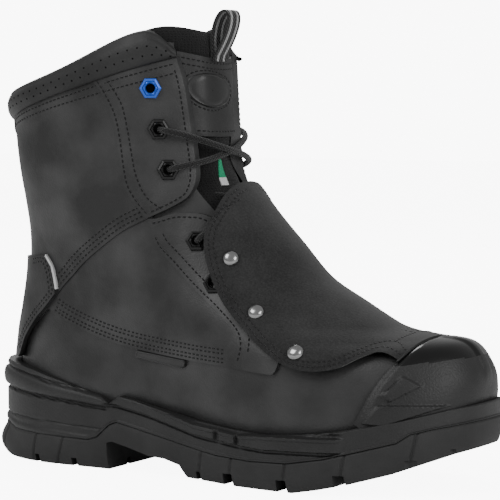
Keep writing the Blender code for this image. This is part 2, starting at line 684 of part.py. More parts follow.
def make_tag(rubber):
    # A small moulded tag under the band seam, left bare
    panel("side_tag", upper_rows(0.04, 0.34), constant(MATING_GAP + TAG_THICKNESS), side_shares(TAG), rubber,
          high_y=0.0)


def make_piping(reflective):
    over = SHAFT_LEATHER + 2 * MATING_GAP
    line = smooth_line(side_shares(PIPING), 6)
    outline = shifted(line, MATING_GAP, MATING_GAP)
    outline += shifted(line[::-1], MATING_GAP + PIPING_WIDTH, MATING_GAP + PIPING_WIDTH * 0.5)
    for side, name in ((-1, "lateral"), (1, "medial")):
        low_y, high_y = side_reach(side)
        panel("piping_" + name, upper_rows(0.34, 0.58), constant(over + COUNTER_LEATHER * 0.8), outline,
              reflective, inner=over, low_y=low_y, high_y=high_y)


def make_cuff(leather):
    # A padded roll round the collar, from one end of the throat to the other
    line = smooth_line(side_shares(CUFF_LINE), 12)
    low_x, high_x = line[0][0], line[-1][0]
    outline = line + [(high_x, COLLAR_HEIGHT * 1.2), (low_x, COLLAR_HEIGHT * 1.2)]
    rows = (0.88, 0.915, 0.95, 0.985, 1.006)

    def outer(turn, row):
        swell = sin(pi * min(max((row - 0.895) / 0.118, 0.0), 1.0))
        return CUFF_LEATHER + CUFF_PADDING * sqrt(max(swell, 0.0))

    panel("collar_cuff", rows, outer, outline, leather)


def build_back_band(bm, rows, width, inner, outer):
    # A strap up the centre of the back, cut square at its own width
    grid = []
    for row in rows:
        reach = 0.0
        for _ in range(30):
            spot = upper_point(reach + 0.01, row)
            if spot.y > width / 2:
                break
            reach += 0.01
        grid.append([(reach * (i / 3 - 1), row) for i in range(7)])
    build_sheet(bm, grid, inner, outer)


def make_back_straps(textile):
    over = SHAFT_LEATHER + 2 * MATING_GAP
    new_object("back_strip",
               lambda bm: build_back_band(bm, (0.50, 0.56, 0.63, 0.70, 0.76, 0.80), STRIP_WIDTH,
                                          constant(over), constant(over + WEBBING_THICKNESS)), textile)

    def inner(turn, row):
        return over + (CUFF_PADDING + WEBBING_STANDOFF) * blend(0.82, 0.90, row)

    def outer(turn, row):
        return inner(turn, row) + WEBBING_THICKNESS

    new_object("back_webbing",
               lambda bm: build_back_band(bm, (0.815, 0.85, 0.88, 0.92, 0.96, 1.0),
                                          WEBBING_WIDTH, inner, outer), textile)


def tongue_reach(row):
    # Half the tongue's spread round the ring, from the front centre
    return 0.13 + 0.26 * blend(0.42, 0.98, row)


def from_front(turn):
    # How far a turn is from the front centre, negative on the medial side
    return (turn % 2) - 1


def tongue_outer(turn, row):
    # Under the facings the tongue keeps its clearance, and it rises between them
    off_centre = from_front(turn)
    edge = 1 - abs(throat_turn(row, -1 if off_centre > 0 else 1))
    rise = 1 - blend(0.45, 0.92, abs(off_centre) / edge)
    return -(UPPER_WALL + TONGUE_CLEARANCE) + (UPPER_WALL - TONGUE_CLEARANCE) * rise


def throat_spread(row, share, columns):
    # Turns across the throat at one row, from its medial to its lateral edge
    medial, lateral = (share * (1 - abs(throat_turn(row, side))) for side in (1, -1))
    return [(1 - medial + (medial + lateral) * i / columns, row) for i in range(columns + 1)]


def make_tongue(textile, leather, badge_rubber, label_cloth):
    face_rows = (0.82, 0.87, 0.92, 0.968)
    label_rows = (0.735, 0.78)
    rows = (0.47, 0.54, 0.61, 0.68) + label_rows + face_rows + (1.005, 1.042)
    columns = 10

    def inner(turn, row):
        return tongue_outer(turn, row) - TONGUE_THICKNESS - TONGUE_PADDING * blend(0.84, 1.0, row)

    def spread(row):
        # The padded top falls a little towards its two wings
        line = []
        for i in range(columns + 1):
            off = 2 * i / columns - 1
            fall = TONGUE_WING_FALL * off * off * blend(0.95, 1.05, row)
            line.append((1 + tongue_reach(row) * off, row - fall))
        return line

    new_object("tongue", lambda bm: build_sheet(bm, [spread(r) for r in rows], inner, tongue_outer), textile)

    # The leather face fills the throat, on the tongue
    def face_inner(turn, row):
        return tongue_outer(turn, row) + MATING_GAP

    def face_outer(turn, row):
        return face_inner(turn, row) + TONGUE_LEATHER

    face_grid = [throat_spread(r, 0.93, 10) for r in face_rows]
    new_object("tongue_face", lambda bm: build_sheet(bm, face_grid, face_inner, face_outer), leather)

    # The oval badge, blank, on the leather face
    def badge_inner(turn, row):
        return face_outer(turn, row) + MATING_GAP

    badge_grid = [throat_spread(r, 0.93, 14) for r in (0.86, 0.885, 0.91, 0.935, 0.960)]
    badge = new_object(
        "tongue_badge",
        lambda bm: build_sheet(bm, badge_grid, badge_inner,
                               lambda a, v: badge_inner(a, v) + PATCH_THICKNESS), badge_rubber)
    middle = offset_point(BADGE_TURN, BADGE_ROW, 0.0)
    normal = upper_normal(BADGE_TURN, BADGE_ROW)

    def build_oval(bm):
        facing = Vector((normal.x, normal.y, 0)).to_track_quat("Z", "Y").to_matrix().to_4x4()
        place = Matrix.Translation(middle) @ facing
        flatten = Matrix.Diagonal((1, PATCH_HEIGHT / PATCH_WIDTH, 1, 1))
        bmesh.ops.create_cone(bm, cap_ends=True, segments=20, radius1=PATCH_WIDTH / 2,
                              radius2=PATCH_WIDTH / 2, depth=0.04, matrix=place @ flatten)

    cut_with(badge, "badge_outline", "INTERSECT", build_oval)

    # A small cloth label below the leather face
    label_grid = [[(LABEL_TURN + LABEL_SPREAD * (i / 2 - 1), r) for i in range(5)] for r in label_rows]
    new_object("tongue_label",
               lambda bm: build_sheet(bm, label_grid, lambda a, v: tongue_outer(a, v) + MATING_GAP,
                                      lambda a, v: tongue_outer(a, v) + MATING_GAP + LABEL_THICKNESS),
               label_cloth)


def make_pull_loop(webbing):
    # A strap folded into a drop shape, standing over the tongue's leather face
    root = offset_point(LOOP_TURN, LOOP_ROW, tongue_outer(LOOP_TURN, LOOP_ROW))
    normal = upper_normal(LOOP_TURN, LOOP_ROW)
    normal.z = 0
    normal.normalize()
    across = Vector((-normal.y, normal.x, 0))
    foot = LOOP_THICKNESS / 2 + MATING_GAP
    root += normal * (foot - MATING_GAP)

    def build(bm):
        turns = 18
        path = []
        for i in range(turns + 1):
            angle = 2 * pi * i / turns - pi / 2
            swell = (1 + sin(angle)) / 2
            out = cos(angle) * LOOP_DEPTH / 2 * swell ** 0.55
            if swell < 0.5:
                # The two ends of the strap lie side by side at the foot
                out = max(out, foot) if i < turns / 2 else min(out, -foot)
            up = LOOP_HEIGHT * swell
            path.append(root + normal * (foot + out + LOOP_LEAN * up) + Vector((0, 0, up)))
        rings = []
        for i, spot in enumerate(path):
            ahead = path[min(i + 1, turns)] - path[max(i - 1, 0)]
            half_width = across * LOOP_WIDTH / 2
            half_wall = ahead.cross(across).normalized() * LOOP_THICKNESS / 2
            rings.append([bm.verts.new(spot + half_width * a + half_wall * b)
                          for a, b in ((-1, -1), (1, -1), (1, 1), (-1, 1))])
        for low, high in zip(rings, rings[1:]):
            for i in range(4):
                k = (i + 1) % 4
                bm.faces.new((low[i], low[k], high[k], high[i]))
        bm.faces.new(rings[0])
        bm.faces.new(rings[-1])

    new_object("pull_loop", build, webbing)


def guard_inner(turn, row):
    # The guard lies close at its toe end and stands off over the laces
    along_sole = upper_point(turn, row).x / SOLE_LENGTH
    return GUARD_STANDOFF - (GUARD_STANDOFF - GUARD_TOE_STANDOFF) * blend(0.20, 0.35, along_sole)


def make_guard(leather):
    columns = 7
    rows = (0.18, 0.22, 0.26, 0.31, 0.37, 0.44, 0.52, 0.60, 0.67, 0.73, 0.79)
    reach = 0.42

    def outer(turn, row):
        return guard_inner(turn, row) + GUARD_THICKNESS

    grid = [[(1 + reach * i / columns, row) for i in range(-columns, columns + 1)] for row in rows]
    guard = new_object("met_guard", lambda bm: build_sheet(bm, grid, guard_inner, outer), leather)
    edge = smooth_line(side_shares(GUARD_EDGE), 30)
    bumper = smooth_line(side_shares(BUMPER_BACK), 9)
    toe_end = [(x - 2 * MATING_GAP, z) for x, z in bumper if z > edge[-1][1]]
    top_x, top_z = side_shares([GUARD_TOP])[0]
    outline = edge[:-1] + toe_end + [(toe_end[-1][0], top_z), (top_x, top_z)]
    cut_with(guard, "guard_outline", "INTERSECT", lambda bm: build_prism(bm, outline, -PANEL_REACH, PANEL_REACH))


def placed_on(turn, row, out):
    # A frame on the upper: origin out along the normal, local z along the normal
    normal = upper_normal(turn, row)
    up = Vector((0, 0, 1))
    side = up.cross(normal).normalized()
    over = normal.cross(side)
    place = Matrix((side, over, normal)).transposed().to_4x4()
    place.translation = offset_point(turn, row, out)
    return place


def seated_on(carrier, place, radius):
    # The same frame, moved to the mating gap over the highest spot of its carrier
    bpy.context.view_layer.update()
    skin = BVHTree.FromObject(bpy.data.objects[carrier], bpy.context.evaluated_depsgraph_get())
    start = place @ Matrix.Translation((0, 0, SEAT_REACH))
    down = -(place.to_3x3() @ Vector((0, 0, 1)))
    falls = []
    for reach in (0.0, 0.35 * radius, 0.7 * radius, radius):
        for i in range(16):
            angle = 2 * pi * i / 16
            spot = start @ Vector((reach * cos(angle), reach * sin(angle), 0))
            fall = skin.ray_cast(spot, down)[3]
            if fall is not None:
                falls.append(fall)
    return start @ Matrix.Translation((0, 0, MATING_GAP - min(falls, default=SEAT_REACH)))


def build_washer(bm, sides, outer, hole, thickness, place):
    # A flat ring with a hexagon outside and a round hole
    per_side = 2
    count = sides * per_side
    loops = []
    for height in (0.0, thickness):
        rims = []
        for kind in ("outer", "inner"):
            rim = []
            for i in range(count):
                angle = 2 * pi * i / count
                if kind == "outer":
                    within = (angle % (2 * pi / sides)) - pi / sides
                    radius = outer / 2 * cos(pi / sides) / cos(within)
                    radius *= 0.86 if height else 1.0
                else:
                    radius = hole / 2
                rim.append(bm.verts.new(place @ Vector((radius * cos(angle), radius * sin(angle), height))))
            rims.append(rim)
        loops.append(rims)
    low, high = loops
    for i in range(count):
        k = (i + 1) % count
        bm.faces.new((low[0][i], low[0][k], high[0][k], high[0][i]))
        bm.faces.new((high[0][i], high[0][k], high[1][k], high[1][i]))
        bm.faces.new((high[1][i], high[1][k], low[1][k], low[1][i]))
        bm.faces.new((low[1][i], low[1][k], low[0][k], low[0][i]))


def eyelet_seat(index):
    # The two lowest eyelets sit on the lower facing, the others on the eyestay
    return (EYESTAY_LEATHER if index < 3 else FACING_LEATHER) + MATING_GAP + EYELET_CLEARANCE


def make_eyelets(black, blue):
    spots = side_shares(EYELETS)
    for side, name in ((-1, "lateral"), (1, "medial")):
        for index, (x, z) in enumerate(spots):
            turn, row = find_on_side(x, z, side, eyelet_seat(index))
            carrier = ("eyestay_" if index < 3 else "lower_facing_") + name
            place = seated_on(carrier, placed_on(turn, row, eyelet_seat(index)), EYELET_ACROSS / 2)
            new_object("eyelet_%s_%d" % (name, index + 1),
                       lambda bm: build_washer(bm, 6, EYELET_ACROSS, EYELET_HOLE, EYELET_THICKNESS, place),
                       blue if index == 0 else black, smooth=False)


def make_rivets(steel):
    def build_dome(bm, place):
        rings = ((1.0, 0.0), (0.90, 0.45), (0.52, 0.90))
        sides = 10
        loops = [[bm.verts.new(place @ Vector((r * RIVET_DIAMETER / 2 * cos(2 * pi * i / sides),
                                              r * RIVET_DIAMETER / 2 * sin(2 * pi * i / sides),
                                              h * RIVET_RISE))) for i in range(sides)] for r, h in rings]
        bm.faces.new(loops[0])
        for low, high in zip(loops, loops[1:]):
            for i in range(sides):
                k = (i + 1) % sides
                bm.faces.new((low[i], low[k], high[k], high[i]))
        bm.faces.new(loops[-1])

    for side, name in ((-1, "lateral"), (1, "medial")):
        for index, (x, z) in enumerate(side_shares(RIVETS)):
            out = GUARD_STANDOFF + GUARD_THICKNESS
            turn, row = find_on_side(x, z, side, out)
            out = guard_inner(turn, row) + GUARD_THICKNESS + 2 * MATING_GAP
            turn, row = find_on_side(x, z, side, out)
            place = seated_on("met_guard", placed_on(turn, row, out), RIVET_DIAMETER / 2)
            new_object("rivet_%s_%d" % (name, index + 1), lambda bm: build_dome(bm, place), steel)


def build_tube(bm, path, diameter, sides=6):
    rings = []
    for i, spot in enumerate(path):
        ahead = (path[min(i + 1, len(path) - 1)] - path[max(i - 1, 0)]).normalized()
        side = ahead.cross(Vector((0, 0, 1))).normalized()
        over = side.cross(ahead)
        rings.append([bm.verts.new(spot + (side * cos(2 * pi * k / sides) + over * sin(2 * pi * k / sides))
                                   * diameter / 2) for k in range(sides)])
    for low, high in zip(rings, rings[1:]):
        for i in range(sides):
            k = (i + 1) % sides
            bm.faces.new((low[i], low[k], high[k], high[i]))
    bm.faces.new(rings[0])
    bm.faces.new(rings[-1])


def strand(start, end, trim, end_out, middle_out):
    # A taut lace over the throat between two spots (turn, row), at its own height over the
    # upper's surface at its ends and in its middle
    count = 9
    points = []
    for i in range(count):
        share = trim + (1 - 2 * trim) * i / (count - 1)
        turn = start[0] + (end[0] - start[0]) * share
        row = start[1] + (end[1] - start[1]) * share
        out = end_out + (middle_out - end_out) * sin(pi * share) ** 1.7
        points.append(offset_point(turn, row, out))
    return points


def make_laces(braid):
    spots = side_shares(EYELETS)
    medial = [find_on_side(x, z, 1) for x, z in spots]
    # Lateral turns run past 1, so that a strand crosses the front
    lateral = [(turn + 2, row) for turn, row in (find_on_side(x, z, -1) for x, z in spots)]
    # The upper crossing starts over the eyelets, the lower one keeps between the facings
    over_eyelet = eyelet_seat(1) + EYELET_THICKNESS + LACE_DIAMETER / 2 + EYELET_CLEARANCE
    low = LACE_DIAMETER / 2 - TONGUE_CLEARANCE
    crossings = (("lace_crossing", 1, 2, 0.03, over_eyelet, TONGUE_LEATHER + LACE_DIAMETER / 2),
                 ("lace_bar", 2, 3, 0.34, low, low))
    for name, upper_eyelet, lower_eyelet, trim, end_out, under in crossings:
        over = under + LACE_DIAMETER * 0.45
        first = strand(medial[lower_eyelet], lateral[upper_eyelet], trim, end_out, over)
        second = strand(medial[upper_eyelet], lateral[lower_eyelet], trim, end_out, under)
        crossing = new_object(name, lambda bm: build_tube(bm, first, LACE_DIAMETER), braid)
        cut_with(crossing, name + "_under", "UNION", lambda bm: build_tube(bm, second, LACE_DIAMETER))


def main():
    for thing in list(bpy.data.objects):
        bpy.data.objects.remove(thing, do_unlink=True)
    leather = finish("Oiled leather", "#333333", 0.55)
    rubber = finish("Moulded rubber", "#2b2b2b", 0.7)
    tread = finish("Tread rubber", "#262626", 0.75)
    textile = finish("Black textile", "#141414", 0.9)
    nubuck = finish("Guard leather", "#2f2f2f", 0.8)
    reflective = finish("Reflective piping", "#b8b8b8", 0.4)
    webbing = finish("Striped webbing", "#3a3a3a", 0.8)
    steel = finish("Polished steel", "#d8d8d8", 0.15, 1.0)
    black_metal = finish("Black eyelet", "#303030", 0.45)
    blue_metal = finish("Blue eyelet", "#3f6fc4", 0.4)
    label_cloth = finish("Label cloth", "#1f8a5f", 0.8)
    braid = finish("Lace braid", "#161616", 0.8)

    make_outsole(tread)
    make_midsole(rubber)
    make_upper(leather)
    make_insole(textile)
    make_bumper(rubber)
    make_leather_panels(leather)
    make_tag(rubber)
    make_piping(reflective)
    make_cuff(leather)
    make_back_straps(textile)
    make_tongue(textile, leather, rubber, label_cloth)
    make_pull_loop(webbing)
    make_guard(nubuck)
    make_eyelets(black_metal, blue_metal)
    make_rivets(steel)
    make_laces(braid)


main()
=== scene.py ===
from math import pi, radians

import bpy
import numpy as np
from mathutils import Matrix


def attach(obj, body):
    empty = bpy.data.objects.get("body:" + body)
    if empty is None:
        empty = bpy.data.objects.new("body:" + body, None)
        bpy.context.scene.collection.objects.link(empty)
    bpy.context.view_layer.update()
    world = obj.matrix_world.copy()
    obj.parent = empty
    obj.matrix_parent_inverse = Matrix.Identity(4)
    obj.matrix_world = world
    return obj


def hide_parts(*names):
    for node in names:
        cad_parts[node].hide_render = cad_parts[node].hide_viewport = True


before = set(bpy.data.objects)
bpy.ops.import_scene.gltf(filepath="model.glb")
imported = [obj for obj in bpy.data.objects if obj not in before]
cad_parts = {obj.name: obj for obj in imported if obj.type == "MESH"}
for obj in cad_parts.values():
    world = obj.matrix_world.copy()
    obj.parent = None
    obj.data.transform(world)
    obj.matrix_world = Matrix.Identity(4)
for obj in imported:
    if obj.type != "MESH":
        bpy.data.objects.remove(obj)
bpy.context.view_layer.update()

# The boot's own sizes, in metres, as the solids have them
boot = {
    "soleLength": 0.322,
    "ballWidth": 0.118,
    "collarHeight": 0.250,
    "soleWallHeight": 0.060,
    "bedHeight": 0.033,
    "toeSwing": 0.009,
    "upperWall": 0.0022,
    "matingGap": 0.0003,
}
# Row, back x and z, front x and z, lift, then half widths at heel, waist, ball and toe:
# four on the lateral side and four on the medial side
rings = np.array((
    (0.000, -0.463, 0.000, 0.466, 0.046, -0.062, 0.297, 0.322, 0.449, 0.441, 0.297, 0.288, 0.415, 0.432),
    (0.090, -0.469, 0.078, 0.474, 0.111, -0.060, 0.322, 0.347, 0.475, 0.449, 0.322, 0.314, 0.441, 0.441),
    (0.150, -0.467, 0.131, 0.471, 0.164, -0.043, 0.322, 0.347, 0.468, 0.425, 0.322, 0.319, 0.440, 0.420),
    (0.200, -0.463, 0.175, 0.446, 0.214, -0.030, 0.321, 0.347, 0.454, 0.392, 0.322, 0.323, 0.430, 0.380),
    (0.245, -0.459, 0.214, 0.388, 0.228, -0.020, 0.318, 0.347, 0.438, 0.352, 0.318, 0.328, 0.418, 0.325),
    (0.310, -0.451, 0.270, 0.312, 0.247, -0.010, 0.310, 0.345, 0.412, 0.320, 0.312, 0.331, 0.397, 0.290),
    (0.440, -0.438, 0.382, 0.180, 0.336, 0.000, 0.297, 0.339, 0.364, 0.288, 0.305, 0.331, 0.356, 0.265),
    (0.555, -0.436, 0.484, 0.102, 0.446, 0.000, 0.297, 0.347, 0.339, 0.271, 0.305, 0.339, 0.331, 0.263),
    (0.665, -0.441, 0.576, 0.028, 0.560, 0.000, 0.314, 0.356, 0.331, 0.271, 0.322, 0.356, 0.331, 0.275),
    (0.750, -0.447, 0.650, -0.020, 0.654, 0.005, 0.331, 0.364, 0.339, 0.280, 0.339, 0.373, 0.352, 0.325),
    (0.830, -0.452, 0.724, -0.032, 0.770, 0.018, 0.347, 0.373, 0.347, 0.288, 0.356, 0.390, 0.366, 0.345),
    (1.000, -0.460, 0.853, -0.040, 0.986, 0.052, 0.356, 0.381, 0.356, 0.297, 0.364, 0.407, 0.383, 0.350),
))
widthStations = (0.12, 0.38, 0.70, 0.90)
throatEdge = ((0.0, 0.80), (0.40, 0.90), (0.55, 0.86), (0.70, 0.81), (1.0, 0.79))
medialThroatShift = 0.050
throatFoot = 0.40


def curveThrough(knots, values, at):
    # A smooth curve through the knots, carried on straight past both ends; a row of
    # values at each knot gives a row at each place
    knots, values, at = (np.asarray(a, float) for a in (knots, values, at))
    last = len(knots) - 1
    ends = np.arange(last + 1)
    before, after = np.maximum(ends - 1, 0), np.minimum(ends + 1, last)
    i = np.clip(np.searchsorted(knots, at, side="right") - 1, 0, last - 1)
    step = knots[i + 1] - knots[i]
    over = np.maximum(at - knots[last], 0.0) + np.minimum(at - knots[0], 0.0)
    s = np.clip((at - knots[i]) / step, 0.0, 1.0)
    spans = knots[after] - knots[before]
    if values.ndim > 1:
        s, step, over, spans = s[..., None], step[..., None], over[..., None], spans[:, None]
    slopes = (values[after] - values[before]) / spans
    low, high = slopes[i], slopes[i + 1]
    inside = (values[i] * (1 + 2 * s) * (1 - s) ** 2 + values[i + 1] * s * s * (3 - 2 * s)
              + low * step * s * (1 - s) ** 2 - high * step * s * s * (1 - s))
    return inside + np.where(over < 0, low, high) * over


def fade(low, high, at):
    share = np.clip((np.asarray(at, float) - low) / (high - low), 0.0, 1.0)
    return share * share * (3 - 2 * share)


def swing(x):
    # How far the sole's middle line bends to the medial side
    share = np.maximum(x / boot["soleLength"] - 0.06, 0.0) / 0.42
    return boot["toeSwing"] * share * share


def upperPoint(turn, row):
    # turn 0 is the back, -1 and 1 the front centre, negative the lateral side
    turn, row = np.broadcast_arrays(np.asarray(turn, float), np.asarray(row, float))
    turn = (turn + 1) % 2 - 1
    lateral = turn < 0
    share = (1 - np.cos(pi * turn)) / 2
    rise = boot["collarHeight"] - boot["bedHeight"]
    ring = curveThrough(rings[:, 0], rings[:, 1:], row)
    backX, frontX = boot["soleLength"] * ring[..., 0], boot["soleLength"] * ring[..., 2]
    backZ, frontZ, lift = rise * ring[..., 1], rise * ring[..., 3], rise * ring[..., 4]
    x = backX + (frontX - backX) * share
    z = boot["bedHeight"] + backZ + (frontZ - backZ) * share
    z = z + lift * np.sin(pi * share ** (1.8 + 0.8 * row))
    widths = [np.where(lateral, ring[..., 5 + i], ring[..., 9 + i]) for i in range(4)]
    width = spreadBetween(widthStations, widths, share) * boot["ballWidth"]
    width = width * roundOff(share, 0.20 + 0.08 * np.minimum(row, 1.0), 2.2)
    width = width * roundOff(1 - share, 0.30, 2.6 - 0.3 * np.minimum(row / 0.4, 1.0))
    return np.stack((x, swing(x) + np.where(lateral, -width, width), z), axis=-1)


def roundOff(reach, length, power):
    # A width's share near an end: 0 at the end, rising to 1 over the length
    share = np.clip(reach / length, 0.0, 1.0)
    return np.maximum(1 - (1 - share) ** power, 0.0) ** (1 / power)


def spreadBetween(stations, columns, at):
    # The same smooth curve, for a column of values that differs from point to point
    last = len(stations) - 1
    slopes = []
    for i in range(last + 1):
        a, b = max(i - 1, 0), min(i + 1, last)
        slopes.append((columns[b] - columns[a]) / (stations[b] - stations[a]))
    result = columns[0] + slopes[0] * (at - stations[0])
    for i in range(last):
        step = stations[i + 1] - stations[i]
        s = (at - stations[i]) / step
        part = (columns[i] * (1 + 2 * s) * (1 - s) ** 2 + columns[i + 1] * s * s * (3 - 2 * s)
                + slopes[i] * step * s * (1 - s) ** 2 - slopes[i + 1] * step * s * s * (1 - s))
        result = np.where(at >= stations[i], part, result)
    return np.where(at >= stations[last], columns[last] + slopes[last] * (at - stations[last]), result)


def upperNormal(turn, row):
    step = 0.006
    around = upperPoint(turn + step, row) - upperPoint(turn - step, row)
    up = upperPoint(turn, row + step) - upperPoint(turn, row - step)
    normal = np.cross(up, around)
    return normal / np.maximum(np.linalg.norm(normal, axis=-1, keepdims=True), 1e-12)


# Soft troughs that wear leaves: start and end seen from the side, in metres, half width, depth
folds = (
    (-0.128, 0.128, -0.060, 0.104, 0.0060, 0.0007),
    (-0.105, 0.108, -0.050, 0.088, 0.0050, 0.0005),
    (-0.120, 0.176, -0.068, 0.160, 0.0070, 0.0006),
    (-0.132, 0.196, -0.088, 0.206, 0.0080, 0.0005),
    (-0.030, 0.098, 0.020, 0.082, 0.0060, 0.0006),
)


def foldDepth(x, z):
    depth = np.zeros(np.shape(x))
    for x0, z0, x1, z1, width, deep in folds:
        runX, runZ = x1 - x0, z1 - z0
        share = np.clip(((x - x0) * runX + (z - z0) * runZ) / (runX ** 2 + runZ ** 2), 0.0, 1.0)
        away = np.hypot(x - x0 - share * runX, z - z0 - share * runZ) / width
        depth += deep * (0.35 * np.exp(-(away - 1.7) ** 2) - np.exp(-away ** 2)) * np.sin(pi * share) ** 0.5
    return depth


def onUpper(turn, row, out):
    # A point this far out from the upper, folds and all
    point = upperPoint(turn, row)
    out = np.broadcast_to(np.asarray(out, float), point.shape[:-1]) + foldDepth(point[..., 0], point[..., 2])
    return point + upperNormal(turn, row) * out[..., None]


def findOnSide(x, z, side, out=0.0):
    # The turn and row whose point has this x and z, on the lateral (-1) or medial (1) side
    x, z = np.broadcast_arrays(np.asarray(x, float), np.asarray(z, float))
    turn, row = np.full(x.shape, 0.5), np.full(x.shape, 0.5)
    for _ in range(15):
        here = onUpper(side * turn, row, out)
        alongTurn = (onUpper(side * (turn + 0.01), row, out) - here) / 0.01
        alongRow = (onUpper(side * turn, row + 0.01, out) - here) / 0.01
        gapX, gapZ = x - here[..., 0], z - here[..., 2]
        size = alongTurn[..., 0] * alongRow[..., 2] - alongTurn[..., 2] * alongRow[..., 0]
        turn = turn + 0.7 * (gapX * alongRow[..., 2] - gapZ * alongRow[..., 0]) / size
        row = row + 0.7 * (alongTurn[..., 0] * gapZ - alongTurn[..., 2] * gapX) / size
        turn, row = np.clip(turn, 0.02, 0.985), np.clip(row, 0.0, 1.1)
    return side * turn, row


def throatTurn(row, side):
    edge = curveThrough([e[0] for e in throatEdge], [e[1] for e in throatEdge], np.minimum(row, 1.0))
    return side * (edge + (medialThroatShift if side > 0 else 0.0))


# Materials
def toLinear(hexColour):
    channels = [int(hexColour[i:i + 2], 16) / 255 for i in (1, 3, 5)]
    return [c / 12.92 if c <= 0.04045 else ((c + 0.055) / 1.055) ** 2.4 for c in channels] + [1.0]


def addNode(tree, kind, settings=None, links=None):
    # One node with its settings (attributes or sockets) and what feeds its sockets
    node = tree.nodes.new(kind)
    for key, value in (settings or {}).items():
        if isinstance(key, str) and hasattr(node, key):
            setattr(node, key, value)
        else:
            node.inputs[key].default_value = value
    for key, socket in (links or {}).items():
        tree.links.new(socket, node.inputs[key])
    return node


def newMaterial(name, colour, roughness, sockets=None):
    material = bpy.data.materials.new(name)
    material.use_nodes = True
    tree = material.node_tree
    shader = tree.nodes["Principled BSDF"]
    shader.inputs["Base Color"].default_value = toLinear(colour)
    shader.inputs["Roughness"].default_value = roughness
    for socket, value in (sockets or {}).items():
        shader.inputs[socket].default_value = value
    return material, tree, shader


def makeLeather(name, dark, light, roughLow, roughHigh, grain, coat):
    # Oiled full-grain leather, tumbled and waxed: fine pebbled grain, uneven satin gloss. The lighter colour
    # patches are partly the leather's own mottled tone and partly painted highlight, lying on the glossier spots
    material, tree, shader = newMaterial(name, dark, roughLow, {"Specular IOR Level": 0.42, "Coat Weight": coat,
                                                                "Coat Roughness": 0.35})
    place = {"Vector": addNode(tree, "ShaderNodeTexCoord").outputs["Object"]}
    patches = addNode(tree, "ShaderNodeTexNoise", {"Scale": 1 / 0.034, "Detail": 5.0}, place).outputs["Fac"]
    pores = addNode(tree, "ShaderNodeTexVoronoi", {"Scale": 1 / 0.0011}, place).outputs["Distance"]
    fine = addNode(tree, "ShaderNodeTexNoise", {"Scale": 1 / 0.0008, "Detail": 2.0}, place).outputs["Fac"]
    soft = addNode(tree, "ShaderNodeTexNoise", {"Scale": 1 / 0.010, "Detail": 3.0}, place).outputs["Fac"]
    # The light end of this mix is partly painted highlight, partly the leather's own mottle
    shade = addNode(tree, "ShaderNodeMapRange", {"From Min": 0.36, "From Max": 0.66}, {"Value": patches}).outputs[0]
    colour = addNode(tree, "ShaderNodeMix", {"data_type": "RGBA", 6: toLinear(dark), 7: toLinear(light)},
                     {0: shade})
    gloss = addNode(tree, "ShaderNodeMapRange", {"To Min": roughHigh, "To Max": roughLow}, {"Value": shade})
    rolling = addNode(tree, "ShaderNodeBump", {"Strength": 0.35, "Distance": 0.0006}, {"Height": soft})
    pored = addNode(tree, "ShaderNodeBump", {"Strength": grain, "Distance": 0.00016},
                    {"Height": pores, "Normal": rolling.outputs[0]})
    grained = addNode(tree, "ShaderNodeBump", {"Strength": grain, "Distance": 0.00012},
                      {"Height": fine, "Normal": pored.outputs[0]})
    tree.links.new(colour.outputs[2], shader.inputs["Base Color"])
    tree.links.new(gloss.outputs[0], shader.inputs["Roughness"])
    tree.links.new(grained.outputs[0], shader.inputs["Normal"])
    return material


def makeNubuck(name, dark, light):
    # Buffed leather of the guard: short nap, no gloss, pale specks and rubbed patches
    material, tree, shader = newMaterial(name, dark, 0.95, {"Sheen Weight": 0.12, "Sheen Roughness": 0.6,
                                                            "Specular IOR Level": 0.12})
    place = {"Vector": addNode(tree, "ShaderNodeTexCoord").outputs["Object"]}
    rubbed = addNode(tree, "ShaderNodeTexNoise", {"Scale": 1 / 0.030, "Detail": 5.0}, place).outputs["Fac"]
    nap = addNode(tree, "ShaderNodeTexNoise", {"Scale": 1 / 0.0011, "Detail": 2.0, "Roughness": 0.7},
                  place).outputs["Fac"]
    mottle = addNode(tree, "ShaderNodeMath", {"operation": "MULTIPLY_ADD", 1: 1.1}, {0: nap, 2: rubbed}).outputs[0]
    shade = addNode(tree, "ShaderNodeMapRange", {"From Min": 0.75, "From Max": 1.35}, {"Value": mottle}).outputs[0]
    colour = addNode(tree, "ShaderNodeMix", {"data_type": "RGBA", 6: toLinear(dark), 7: toLinear(light)},
                     {0: shade})
    napped = addNode(tree, "ShaderNodeBump", {"Strength": 0.6, "Distance": 0.0003}, {"Height": nap})
    tree.links.new(colour.outputs[2], shader.inputs["Base Color"])
    tree.links.new(napped.outputs[0], shader.inputs["Normal"])
    return material


def makeRubber(name, dark, light, roughness, stipple, gloss=0.4):
    # Moulded rubber: the mould's fine stipple, and a little dust in the colour
    material, tree, shader = newMaterial(name, dark, roughness, {"Specular IOR Level": gloss})
    place = {"Vector": addNode(tree, "ShaderNodeTexCoord").outputs["Object"]}
    spark = addNode(tree, "ShaderNodeTexNoise", {"Scale": 1 / 0.0011, "Detail": 2.0}, place).outputs["Fac"]
    dust = addNode(tree, "ShaderNodeTexNoise", {"Scale": 1 / 0.022, "Detail": 4.0}, place).outputs["Fac"]
    shade = addNode(tree, "ShaderNodeMapRange", {"From Min": 0.3, "From Max": 0.75}, {"Value": dust}).outputs[0]
    colour = addNode(tree, "ShaderNodeMix", {"data_type": "RGBA", 6: toLinear(dark), 7: toLinear(light)},
                     {0: shade})
    stippled = addNode(tree, "ShaderNodeBump", {"Strength": stipple, "Distance": 0.0003}, {"Height": spark})
    tree.links.new(colour.outputs[2], shader.inputs["Base Color"])
    tree.links.new(stippled.outputs[0], shader.inputs["Normal"])
    return material


